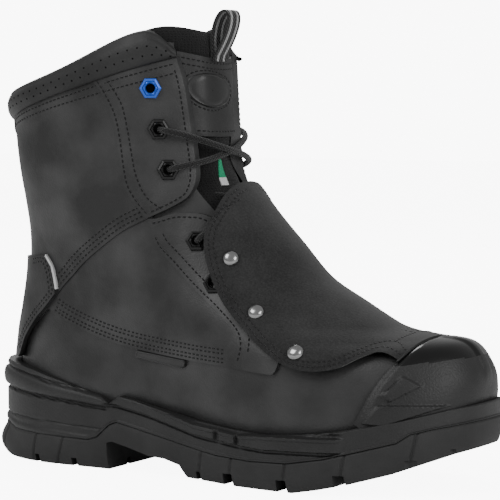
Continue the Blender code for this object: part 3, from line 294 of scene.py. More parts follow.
def makeCloth(name, dark, light, pitch, depth):
    # Woven textile: threads over and under, with a faint nap
    material, tree, shader = newMaterial(name, dark, 0.9, {"Sheen Weight": 0.2, "Specular IOR Level": 0.25})
    place = {"Vector": addNode(tree, "ShaderNodeTexCoord").outputs["Object"]}
    weave = addNode(tree, "ShaderNodeTexWave", {"bands_direction": "DIAGONAL", "Scale": 0.32 / pitch,
                                                "Distortion": 1.2, "Detail": 1.0}, place).outputs["Fac"]
    colour = addNode(tree, "ShaderNodeMix", {"data_type": "RGBA", 6: toLinear(dark), 7: toLinear(light)},
                     {0: weave})
    woven = addNode(tree, "ShaderNodeBump", {"Strength": depth, "Distance": 0.0004}, {"Height": weave})
    tree.links.new(colour.outputs[2], shader.inputs["Base Color"])
    tree.links.new(woven.outputs[0], shader.inputs["Normal"])
    return material


def makeMetal(name, colour, roughness, metallic, scratch):
    # Turned or pressed metal: fine handling scratches in the gloss
    material, tree, shader = newMaterial(name, colour, roughness, {"Metallic": metallic})
    place = {"Vector": addNode(tree, "ShaderNodeTexCoord").outputs["Object"]}
    marks = addNode(tree, "ShaderNodeTexNoise", {"Scale": 1 / 0.0016, "Detail": 3.0}, place).outputs["Fac"]
    worn = addNode(tree, "ShaderNodeMapRange", {"To Min": roughness - scratch, "To Max": roughness + 2 * scratch},
                   {"Value": marks})
    tree.links.new(worn.outputs[0], shader.inputs["Roughness"])
    return material


def makeBraid(name, dark, light):
    # Round braided polyester: yarns cross at an angle on the cord's own map
    material, tree, shader = newMaterial(name, dark, 0.75, {"Sheen Weight": 0.15, "Specular IOR Level": 0.3})
    uv = addNode(tree, "ShaderNodeTexCoord").outputs["UV"]
    plaits = []
    for around in (6.0, -6.0):
        # Six yarns round the cord, 2.4 mm along it
        moved = addNode(tree, "ShaderNodeMapping", {"Scale": (around, 1 / 0.0024, 1.0)}, {"Vector": uv})
        apart = addNode(tree, "ShaderNodeSeparateXYZ", {}, {"Vector": moved.outputs["Vector"]})
        summed = addNode(tree, "ShaderNodeMath", {}, {0: apart.outputs["X"], 1: apart.outputs["Y"]})
        turned = addNode(tree, "ShaderNodeMath", {"operation": "MULTIPLY", 1: 2 * pi}, {0: summed.outputs[0]})
        plaits.append(addNode(tree, "ShaderNodeMath", {"operation": "SINE"}, {0: turned.outputs[0]}).outputs[0])
    top = addNode(tree, "ShaderNodeMath", {"operation": "MAXIMUM"}, {0: plaits[0], 1: plaits[1]}).outputs[0]
    shade = addNode(tree, "ShaderNodeMapRange", {"From Min": -0.4}, {"Value": top}).outputs[0]
    colour = addNode(tree, "ShaderNodeMix", {"data_type": "RGBA", 6: toLinear(dark), 7: toLinear(light)},
                     {0: shade})
    plaited = addNode(tree, "ShaderNodeBump", {"Strength": 0.7, "Distance": 0.0004}, {"Height": top})
    tree.links.new(colour.outputs[2], shader.inputs["Base Color"])
    tree.links.new(plaited.outputs[0], shader.inputs["Normal"])
    return material


def makeLining(name, dark, light):
    # Knitted spacer mesh: rows of small open cells
    material, tree, shader = newMaterial(name, dark, 0.92, {"Sheen Weight": 0.2, "Specular IOR Level": 0.2})
    place = {"Vector": addNode(tree, "ShaderNodeTexCoord").outputs["Object"]}
    cells = addNode(tree, "ShaderNodeTexVoronoi", {"feature": "DISTANCE_TO_EDGE", "Scale": 1 / 0.0015,
                                                   "Randomness": 0.35}, place).outputs["Distance"]
    yarn = addNode(tree, "ShaderNodeMapRange", {"From Min": 0.04, "From Max": 0.30, "To Min": 1.0, "To Max": 0.0},
                   {"Value": cells}).outputs[0]
    colour = addNode(tree, "ShaderNodeMix", {"data_type": "RGBA", 6: toLinear(dark), 7: toLinear(light)},
                     {0: yarn})
    knitted = addNode(tree, "ShaderNodeBump", {"Strength": 0.6, "Distance": 0.0004}, {"Height": yarn})
    tree.links.new(colour.outputs[2], shader.inputs["Base Color"])
    tree.links.new(knitted.outputs[0], shader.inputs["Normal"])
    return material


materials = {
    # Each leather's second colour is its lighter tone: partly its own mottle, partly painted highlight
    "leather": makeLeather("Oiled full-grain leather", "#121212", "#303030", 0.44, 0.60, 0.55, 0.04),
    "vamp": makeLeather("Waxed vamp leather", "#101010", "#292929", 0.38, 0.52, 0.40, 0.08),
    "cuff": makeLeather("Soft collar leather", "#0d0d0d", "#191919", 0.50, 0.64, 0.50, 0.02),
    "counter": makeLeather("Pull-up counter leather", "#131313", "#2c2c2c", 0.52, 0.66, 0.45, 0.02),
    "lining": makeLining("Spacer mesh lining", "#030303", "#101010"),
    "nubuck": makeNubuck("Nubuck guard leather", "#111111", "#2b2b2b"),
    "midsole": makeRubber("Moulded polyurethane midsole", "#131313", "#202020", 0.52, 0.65),
    "tread": makeRubber("Vulcanised tread rubber", "#1b1b1b", "#282828", 0.70, 0.35, 0.4),
    "bumper": makeRubber("Injected toe rubber", "#101010", "#1a1a1a", 0.50, 0.85),
    "dome": makeRubber("Polished toe rubber", "#060606", "#0c0c0c", 0.20, 0.05, 0.32),
    "tag": makeRubber("Moulded tag rubber", "#1f1f1f", "#2a2a2a", 0.45, 0.15),
    "badge": makeRubber("Moulded patch rubber", "#121212", "#191919", 0.40, 0.15),
    "thread": makeCloth("Bonded nylon thread", "#010101", "#070707", 0.0008, 0.4),
    "guardThread": makeCloth("Waxed guard thread", "#040404", "#101010", 0.0008, 0.4),
    "webbing": makeCloth("Nylon webbing", "#0c0c0c", "#1b1b1b", 0.0012, 0.7),
    "stripe": makeCloth("Pale webbing stripe", "#6e6e6e", "#9a9a9a", 0.0012, 0.5),
    "braid": makeBraid("Braided polyester lace", "#020202", "#0d0d0d"),
    "steel": makeMetal("Polished rivet steel", "#8c8c8c", 0.20, 1.0, 0.04),
    "blackMetal": makeMetal("Black lacquered eyelet brass", "#161616", 0.34, 0.45, 0.08),
    "blueMetal": makeMetal("Blue anodised eyelet aluminium", "#2456b8", 0.34, 0.35, 0.06),
    "hole": makeRubber("Shadowed hole wall", "#010101", "#030303", 0.95, 0.05, 0.1),
    "reflective": makeMetal("Reflective glass-bead piping", "#bdbdbd", 0.35, 0.25, 0.05),
    "label": makeCloth("Green woven label", "#178058", "#219469", 0.0008, 0.3),
    "hem": makeCloth("White label hem", "#b8b8b8", "#d6d6d6", 0.0008, 0.2),
}


# Mesh helpers
def linkMesh(name, vertices, faces, skins, skinOf=None):
    mesh = bpy.data.meshes.new(name)
    mesh.from_pydata([tuple(v) for v in vertices], [], [tuple(int(i) for i in f) for f in faces])
    for skin in skins:
        mesh.materials.append(skin)
    if skinOf is not None:
        mesh.polygons.foreach_set("material_index", np.asarray(skinOf, np.int32))
    piece = bpy.data.objects.new(name, mesh)
    bpy.context.scene.collection.objects.link(piece)
    return piece


def onlySelect(piece):
    bpy.ops.object.select_all(action="DESELECT")
    piece.select_set(True)
    bpy.context.view_layer.objects.active = piece


def outward(piece):
    # Doubled points are merged and all faces look out
    onlySelect(piece)
    bpy.ops.object.mode_set(mode="EDIT")
    bpy.ops.mesh.select_all(action="SELECT")
    bpy.ops.mesh.remove_doubles(threshold=0.000002)
    bpy.ops.mesh.normals_make_consistent(inside=False)
    bpy.ops.object.mode_set(mode="OBJECT")


def smooth(piece, degrees=38):
    onlySelect(piece)
    bpy.ops.object.shade_smooth_by_angle(angle=radians(degrees))


def shellMesh(name, outerSkin, innerSkin, skins, held=None, closed=False):
    # A closed wall between two skins of points, over the cells that are held
    count, columns = outerSkin.shape[:2]
    cells = columns if closed else columns - 1
    if held is None:
        held = np.ones((count - 1, cells), bool)
    size = count * columns
    faces, skinOf = [], []

    def isHeld(j, i):
        if not 0 <= j < count - 1 or (not closed and not 0 <= i < cells):
            return False
        return held[j, i % cells]

    for j in range(count - 1):
        for i in range(cells):
            if not held[j, i]:
                continue
            k = (i + 1) % columns
            a, b, c, d = j * columns + i, j * columns + k, (j + 1) * columns + k, (j + 1) * columns + i
            faces += [(a, b, c, d), (size + d, size + c, size + b, size + a)]
            skinOf += [0, len(skins) - 1]
            for low, high, neighbour in ((b, a, isHeld(j - 1, i)), (d, c, isHeld(j + 1, i)),
                                         (a, d, isHeld(j, i - 1)), (c, b, isHeld(j, i + 1))):
                if not neighbour:
                    faces.append((low, high, size + high, size + low))
                    skinOf.append(0)
    vertices = np.concatenate((outerSkin.reshape(-1, 3), innerSkin.reshape(-1, 3)))
    used = np.unique([i for face in faces for i in face])
    place = np.zeros(len(vertices), int)
    place[used] = np.arange(len(used))
    piece = linkMesh(name, vertices[used], [[place[i] for i in f] for f in faces], skins, skinOf)
    outward(piece)
    smooth(piece)
    return piece


def sheet(name, turns, rows, outer, inner, skins, held=None, closed=False):
    return shellMesh(name, onUpper(turns, rows, outer), onUpper(turns, rows, inner), skins, held, closed)


def prism(outline, lowY, highY):
    count = len(outline)
    vertices = [(x, lowY, z) for x, z in outline] + [(x, highY, z) for x, z in outline]
    faces = [tuple(range(count)), tuple(range(2 * count - 1, count - 1, -1))]
    faces += [(i, i + count, (i + 1) % count + count, (i + 1) % count) for i in range(count)]
    cutter = linkMesh("cutter", vertices, faces, [])
    outward(cutter)
    return cutter


def cutWith(piece, cutter, operation):
    change = piece.modifiers.new("cut", "BOOLEAN")
    change.operation = operation
    change.solver = "EXACT"
    change.object = cutter
    onlySelect(piece)
    bpy.ops.object.modifier_apply(modifier="cut")
    bpy.data.objects.remove(cutter, do_unlink=True)
    if not piece.data.polygons:
        raise ValueError(piece.name + " came out empty")
    smooth(piece)


def smoothLine(points, count):
    points = np.asarray(points, float)
    reach = np.concatenate(([0.0], np.cumsum(np.hypot(*np.diff(points, axis=0).T))))
    at = np.linspace(0.0, reach[-1], count)
    return np.stack((curveThrough(reach, points[:, 0], at), curveThrough(reach, points[:, 1], at)), axis=-1)


def sideShares(points):
    return np.asarray(points, float) * (boot["soleLength"], boot["collarHeight"])


def beside(line, distance):
    # The same line moved to its left (seen from the lateral side), in metres
    run = np.gradient(np.asarray(line, float), axis=0)
    run /= np.maximum(np.linalg.norm(run, axis=1, keepdims=True), 1e-9)
    return line + np.stack((-run[:, 1], run[:, 0]), axis=-1) * distance


cordSides = 16


def tube(name, path, diameter, skin, closed=False):
    # A braided cord with a map of its own: once round, and on along its length in metres
    path = np.asarray(path)
    if closed:
        path = np.concatenate((path, path[:1]))
    ahead = np.gradient(path, axis=0)
    ahead /= np.linalg.norm(ahead, axis=1, keepdims=True)
    right = np.cross(ahead, (0.0, 0.0, 1.0))
    right /= np.linalg.norm(right, axis=1, keepdims=True)
    up = np.cross(right, ahead)
    sides = cordSides
    angle = np.linspace(0, 2 * pi, sides, endpoint=False)
    rounds = path[:, None] + (right[:, None] * np.cos(angle)[None, :, None]
                             + up[:, None] * np.sin(angle)[None, :, None]) * diameter / 2
    count = len(path)
    reach = np.concatenate(([0.0], np.cumsum(np.linalg.norm(np.diff(path, axis=0), axis=1))))
    faces = [(j * sides + i, j * sides + (i + 1) % sides, (j + 1) * sides + (i + 1) % sides,
              (j + 1) * sides + i) for j in range(count - 1) for i in range(sides)]
    faces += [tuple(range(sides)), tuple(range(count * sides - 1, (count - 1) * sides - 1, -1))]
    piece = linkMesh(name, rounds.reshape(-1, 3), faces, [skin])
    layer = piece.data.uv_layers.new(name="Braid")
    places = []
    for j in range(count - 1):
        for i in range(sides):
            places += [(i / sides, reach[j]), ((i + 1) / sides, reach[j]),
                       ((i + 1) / sides, reach[j + 1]), (i / sides, reach[j + 1])]
    places += [(0.5, 0.0)] * (2 * sides)
    layer.data.foreach_set("uv", np.array(places).ravel())
    # Its ends are not merged, because a rim's last round lies on its first
    onlySelect(piece)
    bpy.ops.object.mode_set(mode="EDIT")
    bpy.ops.mesh.select_all(action="SELECT")
    bpy.ops.mesh.normals_make_consistent(inside=False)
    bpy.ops.object.mode_set(mode="OBJECT")
    smooth(piece, 60)
    return piece


def dress(piece, slotName, *nodes):
    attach(piece, "root")
    if nodes:
        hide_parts(*nodes)


def ringGrid(rowValues, sideColumns, frontColumns):
    # Closed rings: round the back between the throat's edges, then over the front
    turns = []
    for row in rowValues:
        lateral, medial = float(throatTurn(row, -1)), float(throatTurn(row, 1))
        turns.append(np.concatenate((np.linspace(lateral, 0, sideColumns, endpoint=False),
                                     np.linspace(0, medial, sideColumns + 1),
                                     np.linspace(medial, 1, frontColumns + 1)[1:],
                                     np.linspace(-1, lateral, frontColumns + 1)[1:-1])))
    turns = np.array(turns)
    return turns, np.repeat(np.asarray(rowValues)[:, None], turns.shape[1], axis=1)


def backGrid(lowRow, highRow, rowCount, columns):
    turns, rows = ringGrid(np.linspace(lowRow, highRow, rowCount), columns, 2)
    return turns[:, :2 * columns + 1], rows[:, :2 * columns + 1]


def sidePanel(name, outline, outer, inner, skins, side):
    # A piece of one side, gridded only where its outline lies
    outline = np.asarray(outline)
    turn, row = findOnSide(outline[:, 0], outline[:, 1], side)
    turn = np.abs(turn)
    turns = np.linspace(max(turn.min() - 0.03, 0.03), min(turn.max() + 0.03, 0.99), 70) * side
    rows = np.linspace(max(row.min() - 0.03, 0.0), row.max() + 0.03, 60)
    turns, rows = np.meshgrid(turns, rows)
    piece = sheet(name, turns, rows, outer, inner, skins)
    ends = (-panel["reach"], 0.0) if side < 0 else (0.0, panel["reach"])
    cutWith(piece, prism(outline, *ends), "INTERSECT")
    return piece


print("surface and materials ready")

# The outlines of the leather pieces, seen from the side: x in soleLength, z in collarHeight
diagonal = ((-0.352, 0.380), (-0.329, 0.404), (-0.299, 0.442), (-0.258, 0.488), (-0.217, 0.526),
            (-0.165, 0.570), (-0.117, 0.600))
eyestayBack = ((-0.117, 0.600), (-0.145, 0.638), (-0.162, 0.673), (-0.170, 0.720), (-0.176, 0.782),
               (-0.185, 0.836), (-0.203, 0.883), (-0.226, 0.925))
eyestayFront = ((-0.117, 0.600), (-0.092, 0.614), (-0.066, 0.632), (-0.048, 0.652), (-0.043, 0.682),
                (-0.046, 0.720), (-0.052, 0.782), (-0.057, 0.836), (-0.066, 0.921), (-0.078, 0.985))
cuffLine = ((-0.56, 0.800), (-0.463, 0.818), (-0.396, 0.847), (-0.316, 0.881), (-0.221, 0.918),
            (-0.142, 0.948), (-0.077, 0.974), (0.02, 1.010))
bandLine = ((-0.348, 0.374), (-0.299, 0.346), (-0.222, 0.314), (-0.147, 0.294), (-0.023, 0.278),
            (0.076, 0.271))
facingBack = ((0.076, 0.271), (0.087, 0.293), (0.092, 0.320), (0.082, 0.348), (0.039, 0.394),
              (-0.014, 0.444), (-0.060, 0.495), (-0.097, 0.539), (-0.117, 0.600))
facingFront = ((0.076, 0.271), (0.155, 0.263), (0.169, 0.265), (0.180, 0.300), (0.195, 0.360),
               (0.185, 0.440), (0.120, 0.530), (0.050, 0.580), (0.000, 0.600), (-0.023, 0.612),
               (-0.045, 0.614), (-0.067, 0.613), (-0.100, 0.600), (-0.117, 0.600))
counterEdge = ((-0.56, 0.486), (-0.406, 0.496), (-0.356, 0.503), (-0.337, 0.476), (-0.327, 0.437),
               (-0.324, 0.413), (-0.345, 0.385), (-0.375, 0.352), (-0.413, 0.299), (-0.432, 0.254),
               (-0.440, 0.247), (-0.56, 0.247))
pipingLine = ((-0.350, 0.505), (-0.333, 0.478), (-0.323, 0.447), (-0.319, 0.424))
bumperBack = ((0.313, 0.151), (0.328, 0.189), (0.345, 0.240), (0.363, 0.279), (0.379, 0.303),
              (0.390, 0.326), (0.395, 0.350), (0.397, 0.420))
guardEdge = ((0.019, 0.685), (0.014, 0.668), (0.007, 0.615), (0.001, 0.570), (0.010, 0.518),
             (0.037, 0.452), (0.071, 0.402), (0.132, 0.339), (0.163, 0.313), (0.198, 0.290),
             (0.241, 0.278), (0.285, 0.284), (0.314, 0.305), (0.337, 0.319), (0.359, 0.316),
             (0.385, 0.299))
sideTag = ((-0.141, 0.290), (-0.143, 0.276), (-0.039, 0.257), (-0.030, 0.262), (-0.028, 0.275))
eyeletSpots = sideShares(((-0.113, 0.902), (-0.100, 0.807), (-0.084, 0.713), (-0.020, 0.550), (0.024, 0.455)))
rivetSpots = sideShares(((0.052, 0.514), (0.120, 0.399), (0.215, 0.318)))

leather = {"quarter": 0.0014, "shaft": 0.0022, "eyestay": 0.0030, "facing": 0.0018, "counter": 0.0016,
           "overShaft": 0.0028, "medialLap": 0.0060}
gap = boot["matingGap"]

# The sole: outline, heights along it, and what is moulded on its side
sole = {"heelFlare": 0.0050, "stations": 420, "levels": 44, "cutBelow": 0.004, "grooves": (-0.020, 0.022),
        "grooveWidth": 0.0044, "grooveFloor": 0.0032, "grooveDepth": 0.0042, "grooveReach": 0.150,
        "grooveWave": 0.004}
soleWidths = np.array(((0.00, 0.350, 0.350), (0.14, 0.356, 0.356), (0.36, 0.365, 0.318), (0.52, 0.440, 0.370),
                       (0.70, 0.508, 0.472), (0.88, 0.500, 0.470), (1.00, 0.450, 0.440)))
wallTop = np.array(((0.0, 1.0), (0.05, 0.985), (0.12, 0.930), (0.20, 0.830), (0.28, 0.725), (0.300, 0.665),
                    (0.322, 0.745), (0.36, 0.715), (0.39, 0.680), (0.50, 0.580), (0.58, 0.540), (0.65, 0.525),
                    (0.72, 0.555), (0.78, 0.595), (0.81, 0.625), (0.83, 0.650), (0.90, 0.730), (0.96, 0.815),
                    (1.0, 0.850)))
treadLine = np.array(((0.0, 0.385), (0.04, 0.365), (0.07, 0.317), (0.137, 0.300), (0.25, 0.283),
                      (0.27, 0.317), (0.298, 0.450), (0.314, 0.483), (0.38, 0.417), (0.46, 0.350),
                      (0.545, 0.283), (0.62, 0.267), (0.70, 0.283), (0.77, 0.350), (0.83, 0.433),
                      (0.89, 0.520), (0.91, 0.600), (0.94, 0.640), (1.0, 0.700)))
treadBottom = np.array(((0.0, 0.0), (0.30, 0.0), (0.46, 0.020), (0.525, 0.010), (0.5745, 0.0), (0.705, 0.0),
                        (0.755, 0.050), (0.811, 0.117), (0.885, 0.225), (0.913, 0.283), (0.96, 0.375),
                        (1.0, 0.433)))
arch = ((0.292, -0.10), (0.292, 0.27), (0.304, 0.285), (0.335, 0.250), (0.385, 0.185), (0.425, 0.175),
        (0.460, 0.135), (0.474, 0.030), (0.480, -0.10))
channels = ((0.130, 0.0040, 0.0050), (0.217, 0.0045, 0.0050), (0.503, 0.0025, 0.0050), (0.572, 0.0075, 0.0070),
            (0.687, 0.0075, 0.0070), (0.795, 0.0075, 0.0062), (0.908, 0.0065, 0.0050), (0.962, 0.0030, 0.0040))


def heightAlong(profile, station):
    return np.interp(station, profile[:, 0], profile[:, 1]) * boot["soleWallHeight"]


def soleSide(station, side):
    column = 1 if side < 0 else 2
    width = curveThrough(soleWidths[:, 0], soleWidths[:, column], station) * boot["ballWidth"]
    width = width * roundOff(station, 0.19, 2.2) * roundOff(1 - station, 0.28, 2.4)
    x = boot["soleLength"] * (station - 0.5)
    return np.stack((x, swing(x) + side * width), axis=-1)


def soleLoop(stations, out, z):
    # One loop round the sole: heel to toe on the lateral side, and back on the medial side
    sides = []
    for side in (-1, 1):
        line = soleSide(stations, side)
        run = soleSide(np.minimum(stations + 0.002, 1), side) - soleSide(np.maximum(stations - 0.002, 0), side)
        run[0], run[-1] = (0.0, side), (0.0, -side)
        run /= np.linalg.norm(run, axis=1, keepdims=True)
        normal = np.stack((-run[:, 1], run[:, 0]), axis=-1) * side
        sides.append(np.column_stack((line + normal * out[:, None], z)))
    return np.concatenate((sides[0], sides[1][-2:0:-1]))


def soleBody(name, stations, levels, skins):
    # levels: (out, z) arrays, from the bottom up, closed by a flat strip mesh at both ends
    loops = [soleLoop(stations, out, z) for out, z in levels]
    count, size = len(stations), len(loops[0])
    vertices = np.concatenate(loops)
    faces = []
    for j in range(len(loops) - 1):
        for i in range(size):
            k = (i + 1) % size
            faces.append((j * size + i, j * size + k, (j + 1) * size + k, (j + 1) * size + i))
    for start in (0, (len(loops) - 1) * size):
        for i in range(count - 1):
            corners = [start + i, start + i + 1, start + (size - i - 1) % size, start + (size - i) % size]
            faces.append(tuple(dict.fromkeys(corners)))
    piece = linkMesh(name, vertices, faces, skins)
    outward(piece)
    return piece


def ridge(distance, half, soft):
    # 1 inside a band, falling softly to 0 outside it
    return 1 - fade(half - soft, half + soft, np.abs(distance))


def boxOn(x, z, corners, soft=0.0009):
    # 1 inside a four-cornered block seen from the side (millimetres), 0 outside
    inside = np.ones(np.shape(x))
    corners = np.asarray(corners, float) / 1000
    for (x0, z0), (x1, z1) in zip(corners, np.roll(corners, -1, axis=0)):
        length = np.hypot(x1 - x0, z1 - z0)
        inside *= fade(-soft, soft, ((x1 - x0) * (z - z0) - (z1 - z0) * (x - x0)) / length)
    return inside


def stationsOf(count):
    # Closer together at heel and toe, where the outline turns
    share = np.linspace(0, 1, count)
    return (1 - np.cos(pi * share)) / 2 * 0.55 + share * 0.45


def wallRelief(x, z, station, share):
    # How far the midsole's wall stands out: heel bead, grooves, waist bars, toe bars
    heel = 1 - fade(0.286, 0.297, station)
    fore = (1 - heel) * (1 - fade(0.785, 0.81, station))
    out = np.full(np.shape(x), -0.0008)
    beadLow = np.interp(x, (-0.148, -0.102, -0.070), (0.045, 0.041, 0.038))
    beadHigh = np.interp(x, (-0.151, -0.134, -0.103, -0.067), (0.055, 0.053, 0.048, 0.043))
    middle, half = (beadLow + beadHigh) / 2, (beadHigh - beadLow) / 2
    out += heel * 0.0022 * np.sqrt(np.clip(1 - ((z - middle) / (half * 1.1)) ** 2, 0, 1))
    out -= heel * 0.0014 * ridge(z - beadLow + 0.0016, 0.0009, 0.0005)
    out -= heel * 0.0010 * ridge(z - beadHigh - 0.0012, 0.0007, 0.0004)
    out -= heel * 0.0007 * ridge(z - np.interp(x, (-0.150, -0.066), (0.0275, 0.0235)), 0.0006, 0.0004)
    along = (-0.059, -0.036, 0.001, 0.032, 0.048, 0.100)
    railTop = np.interp(x, along, (0.0465, 0.0425, 0.0335, 0.0305, 0.0315, 0.0330))
    railLow = np.interp(x, along, (0.0395, 0.0355, 0.0275, 0.0245, 0.0235, 0.0250))
    out += fore * 0.0022 * boxLine(z, railLow, railTop)
    out -= fore * 0.0010 * ridge(z - railLow + 0.0012, 0.0009, 0.0004)
    out -= fore * 0.0010 * ridge(z - railTop - 0.0013, 0.0009, 0.0004)
    out += fore * 0.0008 * boxLine(z, railTop - 0.0022, railTop)
    for left, right in ((0.0150, 0.0185), (0.0300, 0.0325)):
        out -= 0.0022 * ridge(x - (left + right) / 2, (right - left) / 2, 0.0004) * boxLine(z, railLow, railTop)
    out += 0.0007 * ridge(share - 0.05, 0.04, 0.02)
    out -= 0.0010 * fade(0.94, 1.0, share)
    return out


def lugRelief(x, z, station):
    # Slanted grooves and steps in the outsole's wall, over the ends of the channels
    out = np.zeros(np.shape(x))
    floor = heightAlong(treadBottom, station)
    for at, lean, wide in ((-0.152, 0.22, 0.0011), (-0.124, 0.30, 0.0011), (-0.104, 0.35, 0.0011),
                           (0.001, 0.20, 0.0012), (0.0232, 0.18, 0.0013), (0.0602, 0.18, 0.0013),
                           (0.0950, 0.22, 0.0013), (0.1314, 0.20, 0.0011)):
        out -= 0.0010 * ridge(x - at - lean * (z - floor), wide * 0.7, 0.0005)
    return out


def boxLine(z, low, high):
    return fade(-0.0003, 0.0004, z - low) * fade(-0.0003, 0.0004, high - z)


def makeMidsole():
    stations = stationsOf(sole["stations"])
    low, high = heightAlong(treadLine, stations), heightAlong(wallTop, stations)
    x = boot["soleLength"] * (stations - 0.5)
    levels = []
    for share in np.linspace(0, 1, sole["levels"]):
        z = low + (high - low) * share
        levels.append((wallRelief(x, z, stations, share), z))
    midsole = soleBody("Midsole", stations, levels, [materials["midsole"]])
    # The bed: a plug of the upper's own shape is taken out of the block
    back, across = 40, 14
    turns, rows = ringGrid(np.linspace(0.0, 0.26, 14), back, across)
    plug = upperPoint(turns, rows) + upperNormal(turns, rows) * gap
    plug = np.concatenate((plug[:1] - (0, 0, gap), plug, plug[-1:] + (0, 0, 0.02)))
    count, columns = plug.shape[:2]
    faces = [(j * columns + i, j * columns + (i + 1) % columns, (j + 1) * columns + (i + 1) % columns,
              (j + 1) * columns + i) for j in range(count - 1) for i in range(columns)]
    for start in (0, (count - 1) * columns):
        for step in range(back + across):
            corners = [start + (back - step) % columns, start + (back - step - 1) % columns,
                       start + back + step + 1, start + back + step]
            faces.append(tuple(dict.fromkeys(corners)))
    cutter = linkMesh("cutter", plug.reshape(-1, 3), faces, [])
    outward(cutter)
    cutWith(midsole, cutter, "DIFFERENCE")
    smooth(midsole, 30)
    dress(midsole, "sole_rubber", "midsole")


def makeOutsole():
    stations = stationsOf(sole["stations"])
    high, low = heightAlong(treadLine, stations) - gap, heightAlong(treadBottom, stations)
    x = boot["soleLength"] * (stations - 0.5)
    levels = []
    for share in np.concatenate(([0.0, 0.02, 0.05, 0.10], np.linspace(0.16, 0.94, 16), [0.97, 1.0])):
        edge = np.interp(share, (0.0, 0.03, 0.10, 0.25, 0.45, 0.70, 0.94, 1.0),
                         (-0.0040, -0.0032, -0.0026, -0.0017, -0.0010, -0.0005, -0.0003, -0.0009))
        z = low + (high - low) * share
        out = edge + sole["heelFlare"] * (1 - fade(0.0, 0.09, stations)) * np.sin(pi * min(share + 0.12, 1.0))
        levels.append((out + lugRelief(x, z, stations), z))
    outsole = soleBody("Outsole", stations, levels, [materials["tread"]])
    width, below = boot["ballWidth"], sole["cutBelow"]
    shape = [(boot["soleLength"] * (s - 0.5), boot["soleWallHeight"] * z) for s, z in arch]
    cutWith(outsole, prism(shape, -width, width), "DIFFERENCE")
    for station, wide, tall in channels:
        x = boot["soleLength"] * (station - 0.5)
        floor = float(heightAlong(treadBottom, station))
        shape = [(x - wide / 2, floor - below), (x + wide / 2, floor - below), (x + wide * 0.42, floor + tall),
                 (x - wide * 0.42, floor + tall)]
        cutWith(outsole, prism(shape, -width, width), "DIFFERENCE")
    # Two grooves run the length of the tread, so that each bar is three lugs
    for middle in sole["grooves"]:
        vertices, faces = [], []
        wide, narrow = sole["grooveWidth"] / 2, sole["grooveFloor"] / 2
        reach = np.linspace(-sole["grooveReach"], sole["grooveReach"], 40)
        for x in reach:
            y = middle + float(swing(x)) + sole["grooveWave"] * np.sin(x * 60)
            floor = float(heightAlong(treadBottom, x / boot["soleLength"] + 0.5))
            top = floor + sole["grooveDepth"]
            vertices += [(x, y - wide, floor - below), (x, y + wide, floor - below), (x, y + narrow, top),
                         (x, y - narrow, top)]
        for j in range(0, 4 * len(reach) - 4, 4):
            faces += [(j + i, j + (i + 1) % 4, j + 4 + (i + 1) % 4, j + 4 + i) for i in range(4)]
        last = 4 * (len(reach) - 1)
        faces += [(0, 1, 2, 3), (last + 3, last + 2, last + 1, last)]
        cutter = linkMesh("cutter", vertices, faces, [])
        outward(cutter)
        cutWith(outsole, cutter, "DIFFERENCE")
    smooth(outsole, 30)
    dress(outsole, "tread_rubber", "outsole")


makeMidsole()
makeOutsole()
print("sole ready")


def makeUpper():
    # Above the throat's foot the front columns are left out, for the tongue
    low, high, side, front = 33, 50, 60, 14
    rowValues = np.concatenate((np.linspace(0, throatFoot, low), np.linspace(throatFoot, 1.0, high)[1:]))
    turns, rows = ringGrid(rowValues, side, front)
    held = np.ones((len(rowValues) - 1, turns.shape[1]), bool)
    held[low - 1:, 2 * side:] = False
    upper = sheet("Upper", turns, rows, 0.0, -boot["upperWall"], [materials["vamp"], materials["lining"]],
                  held, True)
    dress(upper, "leather", "upper")


panel = {
    "under": -0.0002,          # how far a panel's inner skin goes into what carries it
    "reach": 0.1,              # the cutters go this far past the boot on both sides
    "behind": -0.56,           # a place behind the heel, in sole lengths
    "cuffLap": 0.004,          # how far the shaft goes up under the cuff
    "eyestayLap": 0.001,
    "facingLap": (0.004, 0.0),
    "diagonalLap": (0.002, 0.002),
    "quarterFloor": 0.246,
    "pipingWidth": 0.0017,
    "tagOut": 0.0017,
    "tagRim": 0.0010,
}


def cutPanel(name, rowSpan, columns, outline, outer, inner, skin, node):
    # A piece that goes round the heel, cut to its outline on both sides at once
    turns, rows = backGrid(*rowSpan, columns)
    piece = sheet(name, turns, rows, outer, inner, [materials[skin]])
    cutWith(piece, prism(outline, -panel["reach"], panel["reach"]), "INTERSECT")
    dress(piece, "leather", node)


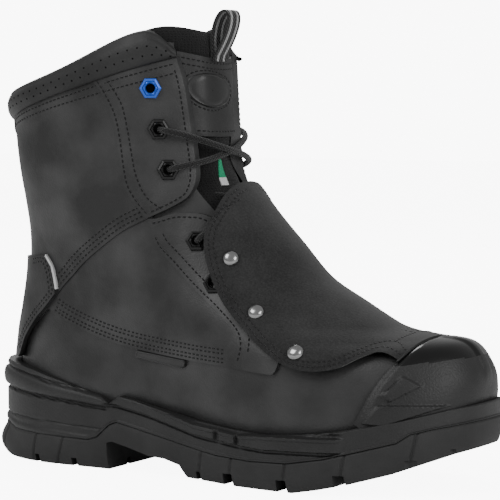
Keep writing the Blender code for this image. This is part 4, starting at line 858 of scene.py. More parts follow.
def makePanels():
    diagonalLine, backLine = smoothLine(sideShares(diagonal), 30), smoothLine(sideShares(eyestayBack), 24)
    cuff, band = smoothLine(sideShares(cuffLine), 40), smoothLine(sideShares(bandLine), 24)
    facingLine = smoothLine(sideShares(facingBack), 30)
    frontLine = smoothLine(sideShares(eyestayFront), 36)
    long, tall = boot["soleLength"], boot["collarHeight"]
    behind, floor, under = long * panel["behind"], tall * panel["quarterFloor"], panel["under"]

    def cuffAt(x, lap):
        return np.interp(x, cuff[:, 0], cuff[:, 1]) + lap

    cornerX, cornerZ = backLine[-1][0], backLine[0][1]
    overCuff = [(x, cuffAt(x, panel["cuffLap"])) for x in np.linspace(cornerX, behind, 20)]
    shaft = np.concatenate((diagonalLine[:-1], backLine[:-1], overCuff, [(behind, diagonalLine[0][1])]))
    cutPanel("Shaft.panel", (0.24, 1.0, 90), 70, shaft, leather["shaft"], under, "leather", "shaft_panel")
    quarter = np.concatenate((
        band[:-1], facingLine[:-1] + panel["facingLap"], diagonalLine[::-1] + panel["diagonalLap"],
        [(behind, diagonalLine[0][1]), (behind, floor), (long * -0.452, floor), (long * -0.405, tall * 0.315)]))
    cutPanel("Quarter.panel", (0.04, 0.82, 90), 70, quarter, leather["quarter"], under, "leather",
             "quarter_panel")

    facing = np.concatenate((facingLine[::-1], smoothLine(sideShares(facingFront), 60)[1:-1]))
    for side, name in ((-1, "lateral"), (1, "medial")):
        piece = sidePanel("Lower.facing." + name, facing, leather["facing"] + 0.0004, under,
                          [materials["leather"]], side)
        dress(piece, "leather", "lower_facing_" + name)
        # The medial eyestay laps a little further over the tongue above the facing
        lap = (leather["medialLap"] if side > 0 else 0.0) * fade(cornerZ, tall * 0.66, frontLine[:, 1])
        front = frontLine + np.stack((lap, np.zeros(len(lap))), axis=-1)
        topX = front[-1][0]
        front = front[front[:, 1] < cuffAt(topX, panel["eyestayLap"])]
        top = [(x, cuffAt(x, panel["eyestayLap"])) for x in np.linspace(topX, cornerX, 8)]
        outline = np.concatenate((front, top, backLine[::-1][1:-1]))
        piece = sidePanel("Eyestay." + name, outline, leather["eyestay"], under, [materials["leather"]], side)
        dress(piece, "leather", "eyestay_" + name)

    over = leather["overShaft"]
    cutPanel("Heel.counter", (0.04, 0.68, 70), 70, sideShares(counterEdge), over + leather["counter"], 0.0006,
             "counter", "heel_counter")
    line = smoothLine(sideShares(pipingLine), 16)
    outline = np.concatenate((line, beside(line[::-1], panel["pipingWidth"])))
    for side, name in ((-1, "lateral"), (1, "medial")):
        piece = sidePanel("Piping." + name, outline, over + leather["counter"] * 0.80, 0.0010,
                          [materials["reflective"]], side)
        dress(piece, "reflective", "piping_" + name)


def makeTag():
    # A small moulded tag under the band, plain, with a raised rim
    corners = sideShares(sideTag)
    piece = sidePanel("Side.tag", corners, panel["tagOut"], 0.0002, [materials["tag"]], -1)
    dress(piece, "sole_rubber", "side_tag")
    rim = np.concatenate([np.linspace(a, b, 12)[:-1] for a, b in zip(corners, np.roll(corners, -1, axis=0))])
    rim = corners.mean(axis=0) + (rim - corners.mean(axis=0)) * (0.97, 0.86)
    turn, row = findOnSide(rim[:, 0], rim[:, 1], -1, panel["tagOut"])
    piece = tube("Side.tag.rim", onUpper(turn, row, panel["tagOut"] - 0.0001), panel["tagRim"], materials["tag"],
                 closed=True)
    dress(piece, "sole_rubber")


def cuffRow(turn):
    # The row at which the cuff's seam meets this turn
    line = sideShares(cuffLine)
    rows = np.linspace(0.80, 1.0, 81)
    points = upperPoint(np.full(rows.shape, turn), rows)
    over = points[:, 2] - np.interp(points[:, 0], line[:, 0], line[:, 1])
    return float(np.interp(0.0, over, rows))


cuffShape = {"edge": 0.0024, "swell": 0.0038, "topRow": 1.010, "inside": 0.0050, "insideRow": 0.86,
             "liningFrom": 21}


def cuffTop(turn):
    # The roll dips where it meets the tongue
    return cuffShape["topRow"] - 0.040 * float(fade(0.70, 0.82, abs(turn)))


def cuffOut(share):
    # The roll's outside, from its seam (0) to its top (1)
    return cuffShape["edge"] + cuffShape["swell"] * np.sqrt(np.sin(pi * np.clip(share * 0.93 + 0.02, 0, 1)))


def makeCuff():
    # A padded roll: up the outside from the seam, over the top and down to the lining
    turns = np.linspace(float(throatTurn(0.95, -1)), float(throatTurn(0.95, 1)), 150)
    sections = []
    for turn in turns:
        low = cuffRow(turn)
        topRow = cuffTop(turn)
        share = np.linspace(0, 1, 16)
        rowsOut = low + (topRow - low) * share
        outs = cuffOut(share)
        angle = np.linspace(0, pi, 9)[1:-1]
        middle = (outs[-1] - cuffShape["inside"]) / 2
        half = (outs[-1] + cuffShape["inside"]) / 2
        rowsTop = topRow + 0.014 * np.sin(angle)
        outsTop = middle + half * np.cos(angle)
        rowsIn = np.linspace(topRow, cuffShape["insideRow"], 12)
        fall = np.linspace(0, 1, 12)
        outsIn = -cuffShape["inside"] - 0.0012 * np.sin(pi * fall) + fall ** 4 * 0.0022
        row = np.concatenate((rowsOut, rowsTop, rowsIn, [cuffShape["insideRow"], low]))
        out = np.concatenate((outs, outsTop, outsIn, [-0.0012, -0.0004]))
        sections.append(onUpper(np.full(row.shape, turn), row, out))
    sections = np.array(sections)
    count, size = sections.shape[:2]
    faces, skinOf = [], []
    for j in range(count - 1):
        for i in range(size):
            k = (i + 1) % size
            faces.append((j * size + i, j * size + k, (j + 1) * size + k, (j + 1) * size + i))
            skinOf.append(1 if cuffShape["liningFrom"] <= i < size - 1 else 0)
    faces += [tuple(range(size)), tuple(range(count * size - 1, (count - 1) * size - 1, -1))]
    skinOf += [0, 0]
    cuff = linkMesh("Collar.cuff", sections.reshape(-1, 3), faces,
                    [materials["cuff"], materials["lining"]], skinOf)
    outward(cuff)
    smooth(cuff, 50)
    dress(cuff, "leather", "collar_cuff")


makeUpper()
makePanels()
makeTag()
makeCuff()
print("upper ready")

tongue = {"thick": 0.0040, "padding": 0.0045, "clearance": 0.0006, "wingFall": 0.030, "leather": 0.0014,
          "badgeTurn": -0.935, "badgeRow": 0.915, "patchWidth": 0.032, "patchHeight": 0.020}
# The tab's place and half width in turns, its foot, hem and tip in rows
tab = {"turn": -0.951, "lean": 0.020, "half": 0.021, "foot": 0.728, "hem": 0.744, "tip": 0.792, "tipWidth": 0.03}


def fromFront(turn):
    return np.asarray(turn) % 2 - 1


def tongueOuter(turn, row):
    off = fromFront(turn)
    edge = np.where(off > 0, 1 - np.abs(throatTurn(row, -1)), 1 - np.abs(throatTurn(row, 1)))
    rise = 1 - fade(0.45, 0.92, np.abs(off) / edge)
    wall, clearance = boot["upperWall"], tongue["clearance"]
    return -(wall + clearance) + (wall - clearance) * rise


def patchSteps():
    # Metres for one turn and for one row, at the tongue's patch
    turn, row = tongue["badgeTurn"], tongue["badgeRow"]
    along = np.linalg.norm(upperPoint(turn + 0.005, row) - upperPoint(turn - 0.005, row)) / 0.01
    up = np.linalg.norm(upperPoint(turn, row + 0.005) - upperPoint(turn, row - 0.005)) / 0.01
    return float(along), float(up)


def throatSpread(rowValues, share, columns):
    turns = []
    for row in rowValues:
        medial, lateral = (share * (1 - abs(float(throatTurn(row, side)))) for side in (1, -1))
        turns.append(np.linspace(1 - medial, 1 + lateral, columns))
    return np.array(turns), np.repeat(np.asarray(rowValues)[:, None], columns, axis=1)


def makeTongue():
    rowValues = np.linspace(0.47, 1.042, 60)
    off = np.linspace(-1, 1, 61)[None, :]
    rows = np.repeat(rowValues[:, None], 61, axis=1)
    turns = 1 + (0.13 + 0.26 * fade(0.42, 0.98, rows)) * off
    fall = tongue["wingFall"] * off * off * fade(0.95, 1.05, rows)
    fallen = rows - fall
    # The padded top is rounded over and its edges thin out to a seam
    near = np.minimum(roundOff(1 - np.abs(off), 0.10, 2.0), roundOff((1.046 - rows) / 0.05, 1.0, 2.0))
    depth = tongue["thick"] + tongue["padding"] * fade(0.84, 1.0, fallen)
    outer = tongueOuter(turns, fallen)
    lift = depth * 0.5 * (1 - near)
    piece = sheet("Tongue", turns, fallen, outer - lift, outer - depth + lift, [materials["lining"]])
    dress(piece, "textile", "tongue")

    rowValues = np.linspace(0.82, 0.985, 26)
    turns, rows = throatSpread(rowValues, 0.96, 41)
    base = tongueOuter(turns, rows)
    edge = roundOff(np.minimum(rows - 0.815, 0.990 - rows) / 0.012, 1.0, 2.0)
    face = sheet("Tongue.face", turns, rows, base + gap + tongue["leather"] * (0.45 + 0.55 * edge), base - 0.0002,
                 [materials["cuff"]])
    dress(face, "leather", "tongue_face")

    # The oval patch is blank: a raised rubber pad inside a sunk ring
    spread = np.concatenate((np.linspace(0.02, 0.86, 8), [0.90, 0.94, 0.97, 1.0]))
    angle = np.linspace(0, 2 * pi, 65)
    along, up = patchSteps()
    turns = tongue["badgeTurn"] + np.outer(spread, np.cos(angle)) * tongue["patchWidth"] / 2 / along
    rows = tongue["badgeRow"] + np.outer(spread, np.sin(angle)) * tongue["patchHeight"] / 2 / up
    onFace = tongueOuter(turns, rows) + gap + tongue["leather"]
    height = np.interp(spread, (0.0, 0.80, 0.86, 0.90, 0.94, 1.0),
                       (0.0013, 0.0012, 0.0008, 0.0010, 0.0010, 0.0003))
    badge = sheet("Tongue.badge", turns, rows, onFace + height[:, None], onFace - 0.0003, [materials["badge"]])
    dress(badge, "badge_rubber", "tongue_badge")

    # A plain green tab that narrows to a point at its top, over a pale hem
    rowValues = np.linspace(tab["foot"], tab["tip"], 20)
    across, rows = np.meshgrid(np.linspace(-tab["half"], tab["half"], 15), rowValues)
    narrow = 1 - np.maximum(rows - tab["hem"], 0) / (tab["tip"] - tab["hem"]) * (1 - tab["tipWidth"])
    turns = tab["turn"] - tab["lean"] * (rows - tab["foot"]) / (tab["tip"] - tab["foot"]) + across * narrow
    base = tongueOuter(turns, rows)
    label = sheet("Tongue.label", turns, rows, base + 0.0008, base + 0.0001,
                  [materials["label"], materials["hem"]])
    hemTop = float(upperPoint(tab["turn"], tab["hem"])[2])
    centre = np.array([p.center[:] for p in label.data.polygons])
    label.data.polygons.foreach_set("material_index", (centre[:, 2] < hemTop).astype(np.int32))
    dress(label, "label_cloth", "tongue_label")


loop = {"width": 0.0130, "thick": 0.0014, "height": 0.0280, "depth": 0.0130, "lean": 0.28, "turn": -0.985,
        "row": 0.985}


def makePullLoop():
    turn, row = loop["turn"], loop["row"]
    root = onUpper(turn, row, tongueOuter(turn, row))
    normal = upperNormal(turn, row) * (1, 1, 0)
    normal /= np.linalg.norm(normal)
    across = np.array((-normal[1], normal[0], 0.0))
    foot = loop["thick"] / 2 + gap
    root = root + normal * (foot - gap)
    angle = np.linspace(-pi / 2, 3 * pi / 2, 61)
    swell = (1 + np.sin(angle)) / 2
    out = np.cos(angle) * loop["depth"] / 2 * swell ** 0.55
    first = np.arange(61) < 30
    out = np.where(swell < 0.5, np.where(first, np.maximum(out, foot), np.minimum(out, -foot)), out)
    up = loop["height"] * swell
    path = root + normal * (foot + out + loop["lean"] * up)[:, None] + np.array((0, 0, 1.0)) * up[:, None]
    path = np.concatenate((path[:1] - (0, 0, 0.0015), path, path[-1:] - (0, 0, 0.0015)))
    ahead = np.gradient(path, axis=0)
    wall = np.cross(ahead, across)
    wall /= np.linalg.norm(wall, axis=1, keepdims=True)
    # Crosswise: two pale stripes stand as ribs of their own on the strap
    edges = np.array((-1, -0.96, -0.62, -0.60, -0.30, -0.28, 0.28, 0.30, 0.60, 0.62, 0.96, 1))
    thick = np.array((0.5, 0.9, 0.9, 1.05, 1.05, 0.9, 0.9, 1.05, 1.05, 0.9, 0.9, 0.5)) * loop["thick"] / 2
    edges = edges * loop["width"] / 2
    outside = path[:, None] + across * edges[None, :, None] + wall[:, None] * thick[None, :, None]
    inside = path[:, None] + across * edges[None, :, None] - wall[:, None] * thick[None, :, None]
    piece = shellMesh("Pull.loop", outside, inside, [materials["webbing"]])
    piece.data.materials.append(materials["stripe"])
    centre = np.array([p.center[:] for p in piece.data.polygons])
    offset = np.abs((centre - root) @ across) / (loop["width"] / 2)
    striped = (offset > 0.30) & (offset < 0.62)
    piece.data.polygons.foreach_set("material_index", striped.astype(np.int32))
    dress(piece, "webbing", "pull_loop")


# Each strap's low row, high row, width and how far it rises to pass over the cuff
straps = {"strip": (0.50, 0.80, 0.018, 0.0), "webbing": (0.815, 1.0, 0.020, 0.0046)}
strapThick = 0.0014


def makeBackStraps():
    for name, (low, high, width, rise) in straps.items():
        rowValues = np.linspace(low, high, 40)
        reach = []
        for row in rowValues:
            turns = np.linspace(0, 0.3, 121)
            reach.append(float(np.interp(width / 2, upperPoint(turns, np.full(121, row))[:, 1], turns)))
        share = np.linspace(-1, 1, 21)
        turns = np.array(reach)[:, None] * share[None, :]
        rows = np.repeat(rowValues[:, None], 21, axis=1)
        inner = leather["overShaft"] + rise * fade(0.82, 0.90, rows)
        edge = strapThick * (0.55 + 0.45 * roundOff(1 - np.abs(share), 0.12, 2.0))[None, :]
        piece = sheet("Back." + name, turns, rows, inner + edge, inner + panel["under"], [materials["webbing"]])
        dress(piece, "textile", "back_" + name)


makeTongue()
makePullLoop()
makeBackStraps()
print("tongue and straps ready")

bumper = {"edge": 0.0034, "base": 0.0046, "topRow": 0.345, "reach": 0.34, "bevel": 0.0016, "bevelWidth": 0.0040,
          "domeRise": 0.0005, "finRise": 0.0013, "noseRise": 0.0012}
guard = {"thick": 0.0032, "standoff": 0.0057, "toeStandoff": 0.0006, "reach": 0.42, "cutTop": 0.715,
         "cutBack": 0.060}
# Side wedges of the bumper, in millimetres, seen from the side
finShapes = (((115.0, 56.0), (119.0, 53.0), (133.0, 61.0), (124.0, 66.0)),
             ((106.0, 42.0), (116.0, 41.0), (144.0, 51.5), (114.0, 51.0)))


def makeBumper():
    turns, rows = np.meshgrid(1 + np.linspace(-bumper["reach"], bumper["reach"], 221),
                              np.linspace(0.0, bumper["topRow"], 120))
    point = upperPoint(turns, rows)
    x, z = point[..., 0], point[..., 2]
    back = smoothLine(sideShares(bumperBack), 40)
    inFront = x - np.interp(z, back[:, 1], back[:, 0])
    out = bumper["base"] + (bumper["edge"] - bumper["base"]) * fade(0.05, 0.20, rows)
    out = out - bumper["bevel"] * (1 - fade(0.0, bumper["bevelWidth"], inFront))
    out = out + bumper["domeRise"] * fade(0.068, 0.078, z - 0.15 * (x - 0.129))
    # Wedges that point towards the toe, then a low ridge down the middle of the nose
    for corners in finShapes:
        out = out + bumper["finRise"] * boxOn(x, z, corners, 0.0004)
    nose = ridge(fromFront(turns), 0.010, 0.006) * fade(0.10, 0.16, rows) * (1 - fade(0.20, 0.26, rows))
    out = out + bumper["noseRise"] * nose
    piece = shellMesh("Toe.bumper", onUpper(turns, rows, out), onUpper(turns, rows, panel["under"]),
                      [materials["bumper"]])
    stations = np.array((1.0, 0.975, 0.953, 0.925, 0.891, 0.854, 0.832))
    base = np.column_stack((boot["soleLength"] * (stations - 0.5),
                            heightAlong(wallTop, stations) + gap - 0.0012))
    front, top = boot["soleLength"] * 0.56, boot["collarHeight"] * 0.42
    outline = np.concatenate(([(front, base[0][1] + 0.002)], base, back[2:], [(front, top)]))
    cutWith(piece, prism(outline, -panel["reach"], panel["reach"]), "INTERSECT")
    # The dome is polished, the sides stay dull
    piece.data.materials.append(materials["dome"])
    centre = np.array([p.center[:] for p in piece.data.polygons])
    shiny = centre[:, 2] > 0.0735 + 0.12 * (centre[:, 0] - 0.129)
    piece.data.polygons.foreach_set("material_index", shiny.astype(np.int32))
    dress(piece, "sole_rubber", "toe_bumper")



def guardInner(turn, row):
    # The guard's inner face stands off the instep and comes down to the bumper
    alongSole = upperPoint(turn, row)[..., 0] / boot["soleLength"]
    return guard["standoff"] - (guard["standoff"] - guard["toeStandoff"]) * fade(0.20, 0.35, alongSole)


def guardOutline():
    edge = smoothLine(sideShares(guardEdge), 60)
    back = smoothLine(sideShares(bumperBack), 20)
    toeEnd = back[back[:, 1] > edge[-1][1]] - (0.0006, 0)
    top, backX = guard["cutTop"] * boot["collarHeight"], guard["cutBack"] * boot["soleLength"]
    return np.concatenate((edge[:-1], toeEnd, [(toeEnd[-1][0], top), (backX, top)]))


def makeGuard():
    share = np.linspace(-1, 1, 141)
    turns, rows = np.meshgrid(1 + guard["reach"] * share, np.linspace(0.18, 0.79, 120))
    inner = guardInner(turns, rows)
    piece = sheet("Met.guard", turns, rows, inner + guard["thick"], inner, [materials["nubuck"]])
    cutWith(piece, prism(guardOutline(), -panel["reach"], panel["reach"]), "INTERSECT")
    dress(piece, "guard_leather", "met_guard")


makeBumper()
makeGuard()
print("guard and bumper ready")


# Fittings that are turned or pressed: rings of points on a place of the upper
def framesOn(turn, row, out):
    normal = upperNormal(turn, row)
    side = np.cross(np.array((0.0, 0.0, 1.0)), normal)
    side /= np.linalg.norm(side)
    return onUpper(turn, row, out), side, np.cross(normal, side), normal


def turned(name, place, profile, sides, skins, skinSteps):
    # profile: radius, height and how hexagonal each ring is, from the outer foot inwards
    origin, right, up, normal = place
    angle = np.linspace(0, 2 * pi, sides, endpoint=False)
    within = angle % (pi / 3) - pi / 6
    hexed = np.cos(pi / 6) / np.cos(within)
    loops = []
    for radius, height, six in profile:
        spread = radius * (1 + (hexed - 1) * six)
        loops.append(origin + np.outer(spread * np.cos(angle), right) + np.outer(spread * np.sin(angle), up)
                     + normal * height)
    faces, skinOf = [], []
    for j in range(len(loops) - 1):
        for i in range(sides):
            k = (i + 1) % sides
            faces.append((j * sides + i, j * sides + k, (j + 1) * sides + k, (j + 1) * sides + i))
            skinOf.append(skinSteps[j])
    faces += [tuple(range(sides)), tuple(range(len(loops) * sides - 1, (len(loops) - 1) * sides - 1, -1))]
    skinOf += [0, skinSteps[-1]]
    piece = linkMesh(name, np.concatenate(loops), faces, skins, skinOf)
    outward(piece)
    smooth(piece, 25)
    return piece


def makeFittings():
    # Radius, height and how hexagonal: a flat base, an inner hexagon, then a round hole
    eyelet = ((0.0065, 0.0, 1), (0.0066, 0.0007, 1), (0.0062, 0.0014, 1), (0.0050, 0.0019, 1),
              (0.0047, 0.0015, 1), (0.0045, 0.0016, 1), (0.0042, 0.0023, 1), (0.0037, 0.0025, 0.4),
              (0.0031, 0.0021, 0), (0.0027, 0.0008, 0), (0.0026, 0.0001, 0))
    rivet = ((0.00475, 0.0, 0), (0.00475, 0.0003, 0), (0.0044, 0.0010, 0), (0.0037, 0.0018, 0),
             (0.0026, 0.0024, 0), (0.0013, 0.0026, 0), (0.0002, 0.0027, 0))
    for side, name in ((-1, "lateral"), (1, "medial")):
        for i, (x, z) in enumerate(eyeletSpots):
            out = (leather["eyestay"] if i < 3 else leather["facing"]) + gap
            turn, row = (float(v) for v in findOnSide(x, z, side, out))
            skin = materials["blueMetal" if i == 0 else "blackMetal"]
            # The innermost rings down each eyelet's hole, and the cap that closes it, are near black: painted shade
            # inside the hole
            piece = turned("Eyelet.%s.%d" % (name, i + 1), framesOn(turn, row, out), eyelet, 48,
                           [skin, materials["hole"]], [0, 0, 0, 0, 0, 0, 0, 0, 0, 1, 1])
            dress(piece, "blue_eyelet" if i == 0 else "black_eyelet", "eyelet_%s_%d" % (name, i + 1))
        for i, (x, z) in enumerate(rivetSpots):
            turn, row = (float(v) for v in findOnSide(x, z, side, guard["standoff"] + guard["thick"]))
            out = float(guardInner(turn, row)) + guard["thick"]
            turn, row = (float(v) for v in findOnSide(x, z, side, out))
            piece = turned("Rivet.%s.%d" % (name, i + 1), framesOn(turn, row, out + 0.0001), rivet, 40,
                           [materials["steel"]], [0] * 7)
            dress(piece, "rivet_steel", "rivet_%s_%d" % (name, i + 1))


lace = {"diameter": 0.0038, "rimRise": 0.0025, "dive": 0.0028, "hidden": -0.0052}


def makeLaces():
    thick = lace["diameter"]
    laid = {}
    for side, name in ((-1, "lateral"), (1, "medial")):
        turn, row = findOnSide(eyeletSpots[:, 0], eyeletSpots[:, 1], side, 0.003)
        laid[name] = np.stack((np.where(side < 0, turn + 2, turn), row), axis=-1)
    overRim = leather["eyestay"] + lace["rimRise"] + thick * 0.62
    # Name, medial eyelet, lateral eyelet, height in the middle, node it stands for
    strands = (("Lace.upper.over", 2, 1, tongue["leather"] + thick * 1.1, "lace_crossing"),
               ("Lace.upper.under", 1, 2, tongue["leather"] + thick * 0.35, None),
               ("Lace.lower.over", 3, 2, thick * 0.75, "lace_bar"),
               ("Lace.lower.under", 2, 3, thick * 0.30, None))
    share = np.linspace(0.0, 1.0, 90)
    fromEnd = np.minimum(share, 1 - share)
    for name, first, second, middleOut, node in strands:
        start, end = laid["medial"][first], laid["lateral"][second]
        spots = start + (end - start) * share[:, None]
        if "upper" in name:
            # Out of the eyelet's hole, over its rim and down to the tongue
            out = overRim + (middleOut - overRim) * fade(0.06, 0.40, fromEnd)
            out = out - (1 - fade(0.0, 0.045, fromEnd)) * (thick * 0.62 + lace["dive"])
        else:
            # These two run behind the eyestays and the facings
            out = lace["hidden"] + (middleOut - lace["hidden"]) * fade(0.18, 0.42, fromEnd)
        piece = tube(name, onUpper(spots[:, 0], spots[:, 1], out), thick, materials["braid"])
        dress(piece, "braid", *([node] if node else []))
    # Each lower eyelet's own strand comes out of it and goes in under the guard
    share = np.linspace(0.0, 0.42, 60)
    for side, name, other in ((-1, "lateral", "medial"), (1, "medial", "lateral")):
        start, end = laid[name][3], laid[name][2] * 0.30 + laid[other][2] * 0.70
        spots = start + (end - start) * share[:, None]
        out = leather["facing"] + lace["rimRise"] + thick * 0.55
        out = out - (1 - fade(0.0, 0.05, share)) * (thick * 0.62 + 0.0026) - 0.0050 * fade(0.16, 0.34, share)
        piece = tube("Lace.low." + name, onUpper(spots[:, 0], spots[:, 1], out), thick, materials["braid"])
        dress(piece, "braid")


makeFittings()
makeLaces()
print("fittings and laces ready")


# Stitches: short thread dashes laid along a line on a surface
thread = {"pitch": 0.0030, "dash": 0.0021, "wide": 0.00100, "high": 0.00040}


def dashesAlong(points, normals, store):
    # points: a dense line in space with its normals; store: vertices and faces so far
    step = np.linalg.norm(np.diff(points, axis=0), axis=1)
    reach = np.concatenate(([0.0], np.cumsum(step)))
    count = int(reach[-1] / thread["pitch"])
    if count < 1:
        return
    starts = (np.arange(count) + 0.5) * reach[-1] / count
    vertices, faces = store
    for at in starts:
        ends = []
        for shift in (-0.5, -0.28, 0.28, 0.5):
            s = np.clip(at + shift * thread["dash"], 0, reach[-1])
            spot = np.array([np.interp(s, reach, points[:, k]) for k in range(3)])
            normal = np.array([np.interp(s, reach, normals[:, k]) for k in range(3)])
            ends.append((spot, normal / np.linalg.norm(normal)))
        run = ends[3][0] - ends[0][0]
        run /= max(np.linalg.norm(run), 1e-9)
        base = len(vertices)
        for (spot, normal), size in zip(ends, (0.25, 1.0, 1.0, 0.25)):
            across = np.cross(normal, run)
            for a, h in ((-0.5, -0.25), (0.5, -0.25), (0.38, 0.75), (-0.38, 0.75)):
                lift = h if h < 0 else h * size - 0.15 * (1 - size)
                wide = thread["wide"] * a * (0.6 + 0.4 * size)
                vertices.append(spot + across * wide + normal * thread["high"] * lift)
        for j in range(3):
            faces += [(base + 4 * j + i, base + 4 * j + (i + 1) % 4, base + 4 * j + 4 + (i + 1) % 4,
                       base + 4 * j + 4 + i) for i in range(4)]
        faces += [(base + 3, base + 2, base + 1, base), (base + 12, base + 13, base + 14, base + 15)]


def stitchSide(line, out, store, sides=(-1, 1), guardTop=False):
    # The line is seen from the side; out may be a number or the guard's own top
    line = smoothLine(line, 160)
    for side in sides:
        turn, row = findOnSide(line[:, 0], line[:, 1], side, 0.002 if guardTop else out)
        if guardTop:
            for _ in range(2):
                out = guardInner(turn, row) + guard["thick"]
                turn, row = findOnSide(line[:, 0], line[:, 1], side, out)
        dashesAlong(onUpper(turn, row, out), upperNormal(turn, row), store)


def stitchRound(turns, rows, out, store):
    dashesAlong(onUpper(turns, rows, out), upperNormal(turns, rows), store)


# How far each row lies inside its edge, in metres
seam = {"diagonal": (0.0024, 0.0052, 0.0080), "band": (0.0020, 0.0042, 0.0072, 0.0094),
        "counter": (0.0022, 0.0046), "eyestayBack": 0.0022, "eyestayFront": 0.0024, "secondShift": 0.0045,
        "facing": 0.0022, "facingInner": 0.0074, "ear": 0.0024, "cuff": (0.0026, 0.0070),
        "guard": (0.0024, 0.0050), "patch": 0.0016}
eyestaySecond = ((-0.203, 0.914), (-0.180, 0.867), (-0.169, 0.813), (-0.161, 0.751), (-0.152, 0.697),
                 (-0.132, 0.650), (-0.102, 0.622))
guardStrap = ((0.004, 0.598), (0.020, 0.628), (0.034, 0.645))
guardToe = ((0.352, 0.338), (0.358, 0.352), (0.362, 0.372))


def finishStitches(name, store, skin):
    stitches = linkMesh(name, *store, [materials[skin]])
    outward(stitches)
    dress(stitches, "braid")


def makeLeatherStitches():
    store = ([], [])
    shaftOut, eyestayOut, facingOut = leather["shaft"], leather["eyestay"], leather["facing"] + 0.0004
    counterOut = leather["overShaft"] + leather["counter"]
    lines = {name: smoothLine(sideShares(points), 60) for name, points in (
        ("diagonal", diagonal), ("back", eyestayBack), ("front", eyestayFront), ("facing", facingBack),
        ("band", bandLine))}
    for inset in seam["diagonal"]:
        stitchSide(beside(lines["diagonal"], inset)[3:-1], shaftOut, store)
    stitchSide(beside(lines["back"], -seam["eyestayBack"])[1:-2], eyestayOut, store)
    stitchSide(sideShares(eyestaySecond) + (seam["secondShift"], 0.0), eyestayOut, store)
    front = beside(lines["front"], seam["eyestayFront"])
    stitchSide(front[2:-5], eyestayOut, store, sides=(-1,))
    stitchSide(front[12:-12] + (leather["medialLap"], 0), eyestayOut, store, sides=(1,))
    stitchSide(beside(lines["facing"], -seam["facing"])[3:-6], facingOut, store)
    stitchSide(beside(lines["facing"], -seam["facingInner"])[6:-6], facingOut, store)
    ear = smoothLine(sideShares(facingFront), 120)[84:118]
    stitchSide(beside(ear, seam["ear"]), facingOut, store)
    for inset in seam["band"]:
        stitchSide(beside(lines["band"], inset)[2:-2], leather["quarter"], store)
    counter = smoothLine(sideShares(counterEdge)[1:10], 70)
    for inset in seam["counter"]:
        stitchSide(beside(counter, -inset)[2:-2], counterOut, store)
    # Two rows round the leg below the cuff, on the shaft at the back and on the eyestays in front
    eyestayTurn, metresPerRow = 0.57, 0.24
    turns = np.linspace(float(throatTurn(0.95, -1)) + 0.01, float(throatTurn(0.95, 1)) - 0.01, 400)
    low = np.array([cuffRow(t) for t in turns])
    under = np.where(np.abs(turns) > eyestayTurn, eyestayOut, shaftOut)
    for inset in seam["cuff"]:
        stitchRound(turns, low - inset / metresPerRow, under, store)
    finishStitches("Stitches.leather", store, "thread")


def makeGuardStitches():
    store = ([], [])
    edge = smoothLine(sideShares(guardEdge), 120)
    for inset in seam["guard"]:
        stitchSide(beside(edge, inset)[2:-2], 0.0, store, guardTop=True)
    for line in (guardStrap, guardToe):
        stitchSide(sideShares(line), 0.0, store, guardTop=True)
    finishStitches("Stitches.guard", store, "guardThread")


def makeTongueStitches():
    # The ring round the patch, then the rows at the top and foot of the leather face
    store = ([], [])
    angle = np.linspace(0, 2 * pi, 200)
    along, up = patchSteps()
    turns = tongue["badgeTurn"] + np.cos(angle) * (tongue["patchWidth"] / 2 + seam["patch"]) / along
    rows = tongue["badgeRow"] + np.sin(angle) * (tongue["patchHeight"] / 2 + seam["patch"]) / up
    stitchRound(turns, rows, tongueOuter(turns, rows) + gap + tongue["leather"], store)
    turns, rows = throatSpread((0.974, 0.962, 0.830), 0.90, 160)
    for turns, rows in zip(turns, rows):
        stitchRound(turns, rows, tongueOuter(turns, rows) + gap + tongue["leather"], store)
    finishStitches("Stitches.tongue", store, "thread")


def makePinholes():
    # Two rows of breathing holes in the cuff: sunk discs with a soft rim, coloured near black as painted shade in
    # the holes
    turns = np.linspace(float(throatTurn(0.95, -1)) + 0.02, float(throatTurn(0.95, 1)) - 0.02, 121)
    vertices, faces = [], []
    for index, share in enumerate((0.34, 0.66)):
        for turn in turns[index::2]:
            low = cuffRow(turn)
            row = low + (cuffTop(turn) - low) * share
            out = float(cuffOut(share))
            origin, right, up, normal = framesOn(turn, row, out)
            base = len(vertices)
            for radius, height in ((0.00062, -0.0002), (0.00052, 0.00012), (0.00030, 0.00016)):
                for i in range(8):
                    angle = 2 * pi * i / 8
                    vertices.append(origin + right * radius * np.cos(angle) + up * radius * np.sin(angle)
                                    + normal * height)
            for j in range(2):
                faces += [(base + 8 * j + i, base + 8 * j + (i + 1) % 8, base + 8 * j + 8 + (i + 1) % 8,
                           base + 8 * j + 8 + i) for i in range(8)]
            faces += [tuple(base + i for i in range(8)), tuple(base + 23 - i for i in range(8))]
    holes = linkMesh("Cuff.pinholes", vertices, faces, [materials["hole"]])
    outward(holes)
    dress(holes, "leather")


makeLeatherStitches()
makeGuardStitches()
makeTongueStitches()
makePinholes()
print("stitches ready")


def makeInsole():
    # The insole's own outline, with its edge rounded over and a cloth cover
    insole = bpy.data.objects.new("Insole", bpy.data.objects["insole"].data.copy())
    bpy.context.scene.collection.objects.link(insole)
    insole.data.materials.clear()
    insole.data.materials.append(materials["lining"])
    change = insole.modifiers.new("edge", "BEVEL")
    change.width = 0.0008
    change.segments = 2
    change.limit_method = "ANGLE"
    onlySelect(insole)
    bpy.ops.object.modifier_apply(modifier="edge")
    smooth(insole)
    dress(insole, "textile", "insole")


makeInsole()

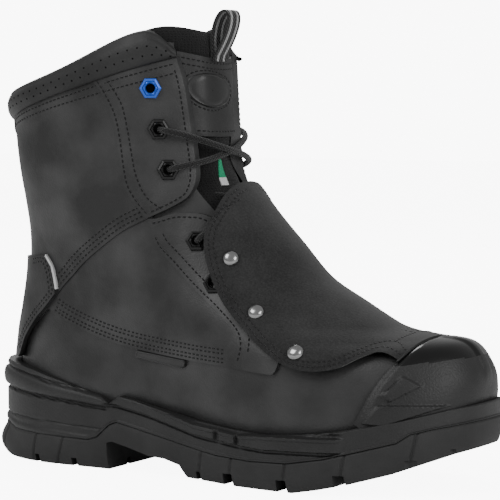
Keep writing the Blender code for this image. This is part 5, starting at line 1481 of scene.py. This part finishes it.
# Floor, light and camera
stage = {"floorSize": 12.0, "floorGlow": 8.1, "backdrop": 8.5, "fill": 0.55, "azimuth": 30.0, "pitch": 3.923,
         "lens": 159.05, "cameraAt": (0.6556, -1.1226, 0.2196), "lookAt": (0.0, 0.0, 0.12)}
bpy.ops.object.select_all(action="DESELECT")
bpy.ops.mesh.primitive_plane_add(size=stage["floorSize"], location=(0, 0, -0.0002))
floor = bpy.context.object
floor.name = "Floor"
paper, paperTree, paperShader = newMaterial("Matt white paper floor", "#fbfbfb", 0.9)
# To the camera the floor is as bright as the backdrop, so that no horizon shows
seen = addNode(paperTree, "ShaderNodeLightPath").outputs["Is Camera Ray"]
glow = addNode(paperTree, "ShaderNodeMath", {"operation": "MULTIPLY", 1: stage["floorGlow"]}, {0: seen})
paperTree.links.new(glow.outputs[0], paperShader.inputs["Emission Strength"])
paperShader.inputs["Emission Color"].default_value = (1.0, 1.0, 1.0, 1.0)
floor.data.materials.append(paper)

world = bpy.data.worlds.new("Soft studio")
bpy.context.scene.world = world
world.use_nodes = True
world.node_tree.nodes["Background"].inputs["Color"].default_value = (1.0, 1.0, 1.0, 1.0)
# The backdrop is bright to the camera and gives a softer light to the boot
seen = addNode(world.node_tree, "ShaderNodeLightPath").outputs["Is Camera Ray"]
strength = addNode(world.node_tree, "ShaderNodeMath",
                   {"operation": "MULTIPLY_ADD", 1: stage["backdrop"], 2: stage["fill"]}, {0: seen})
world.node_tree.links.new(strength.outputs[0], world.node_tree.nodes["Background"].inputs["Strength"])

lights = (("Key.light", (-0.5, -1.5, 1.7), 1.1, 26.0), ("Front.light", (1.9, -0.5, 1.0), 0.9, 20.0),
          ("Back.light", (-1.2, 1.2, 1.5), 1.0, 16.0))
for name, spot, size, power in lights:
    bpy.ops.object.light_add(type="AREA", location=spot)
    lamp = bpy.context.object
    lamp.name = name
    lamp.data.size = size
    lamp.data.energy = power
    aim = np.array(stage["lookAt"]) - np.array(spot)
    lamp.rotation_euler = (float(np.arctan2(np.hypot(aim[0], aim[1]), -aim[2])), 0.0,
                           float(np.arctan2(aim[0], -aim[1])) + pi)

bpy.ops.object.camera_add(location=stage["cameraAt"],
                          rotation=(radians(90 - stage["pitch"]), 0, radians(stage["azimuth"])))
camera = bpy.context.object
camera.data.lens = stage["lens"]
camera.data.sensor_width = 36.0
bpy.context.scene.camera = camera
print("studio ready")
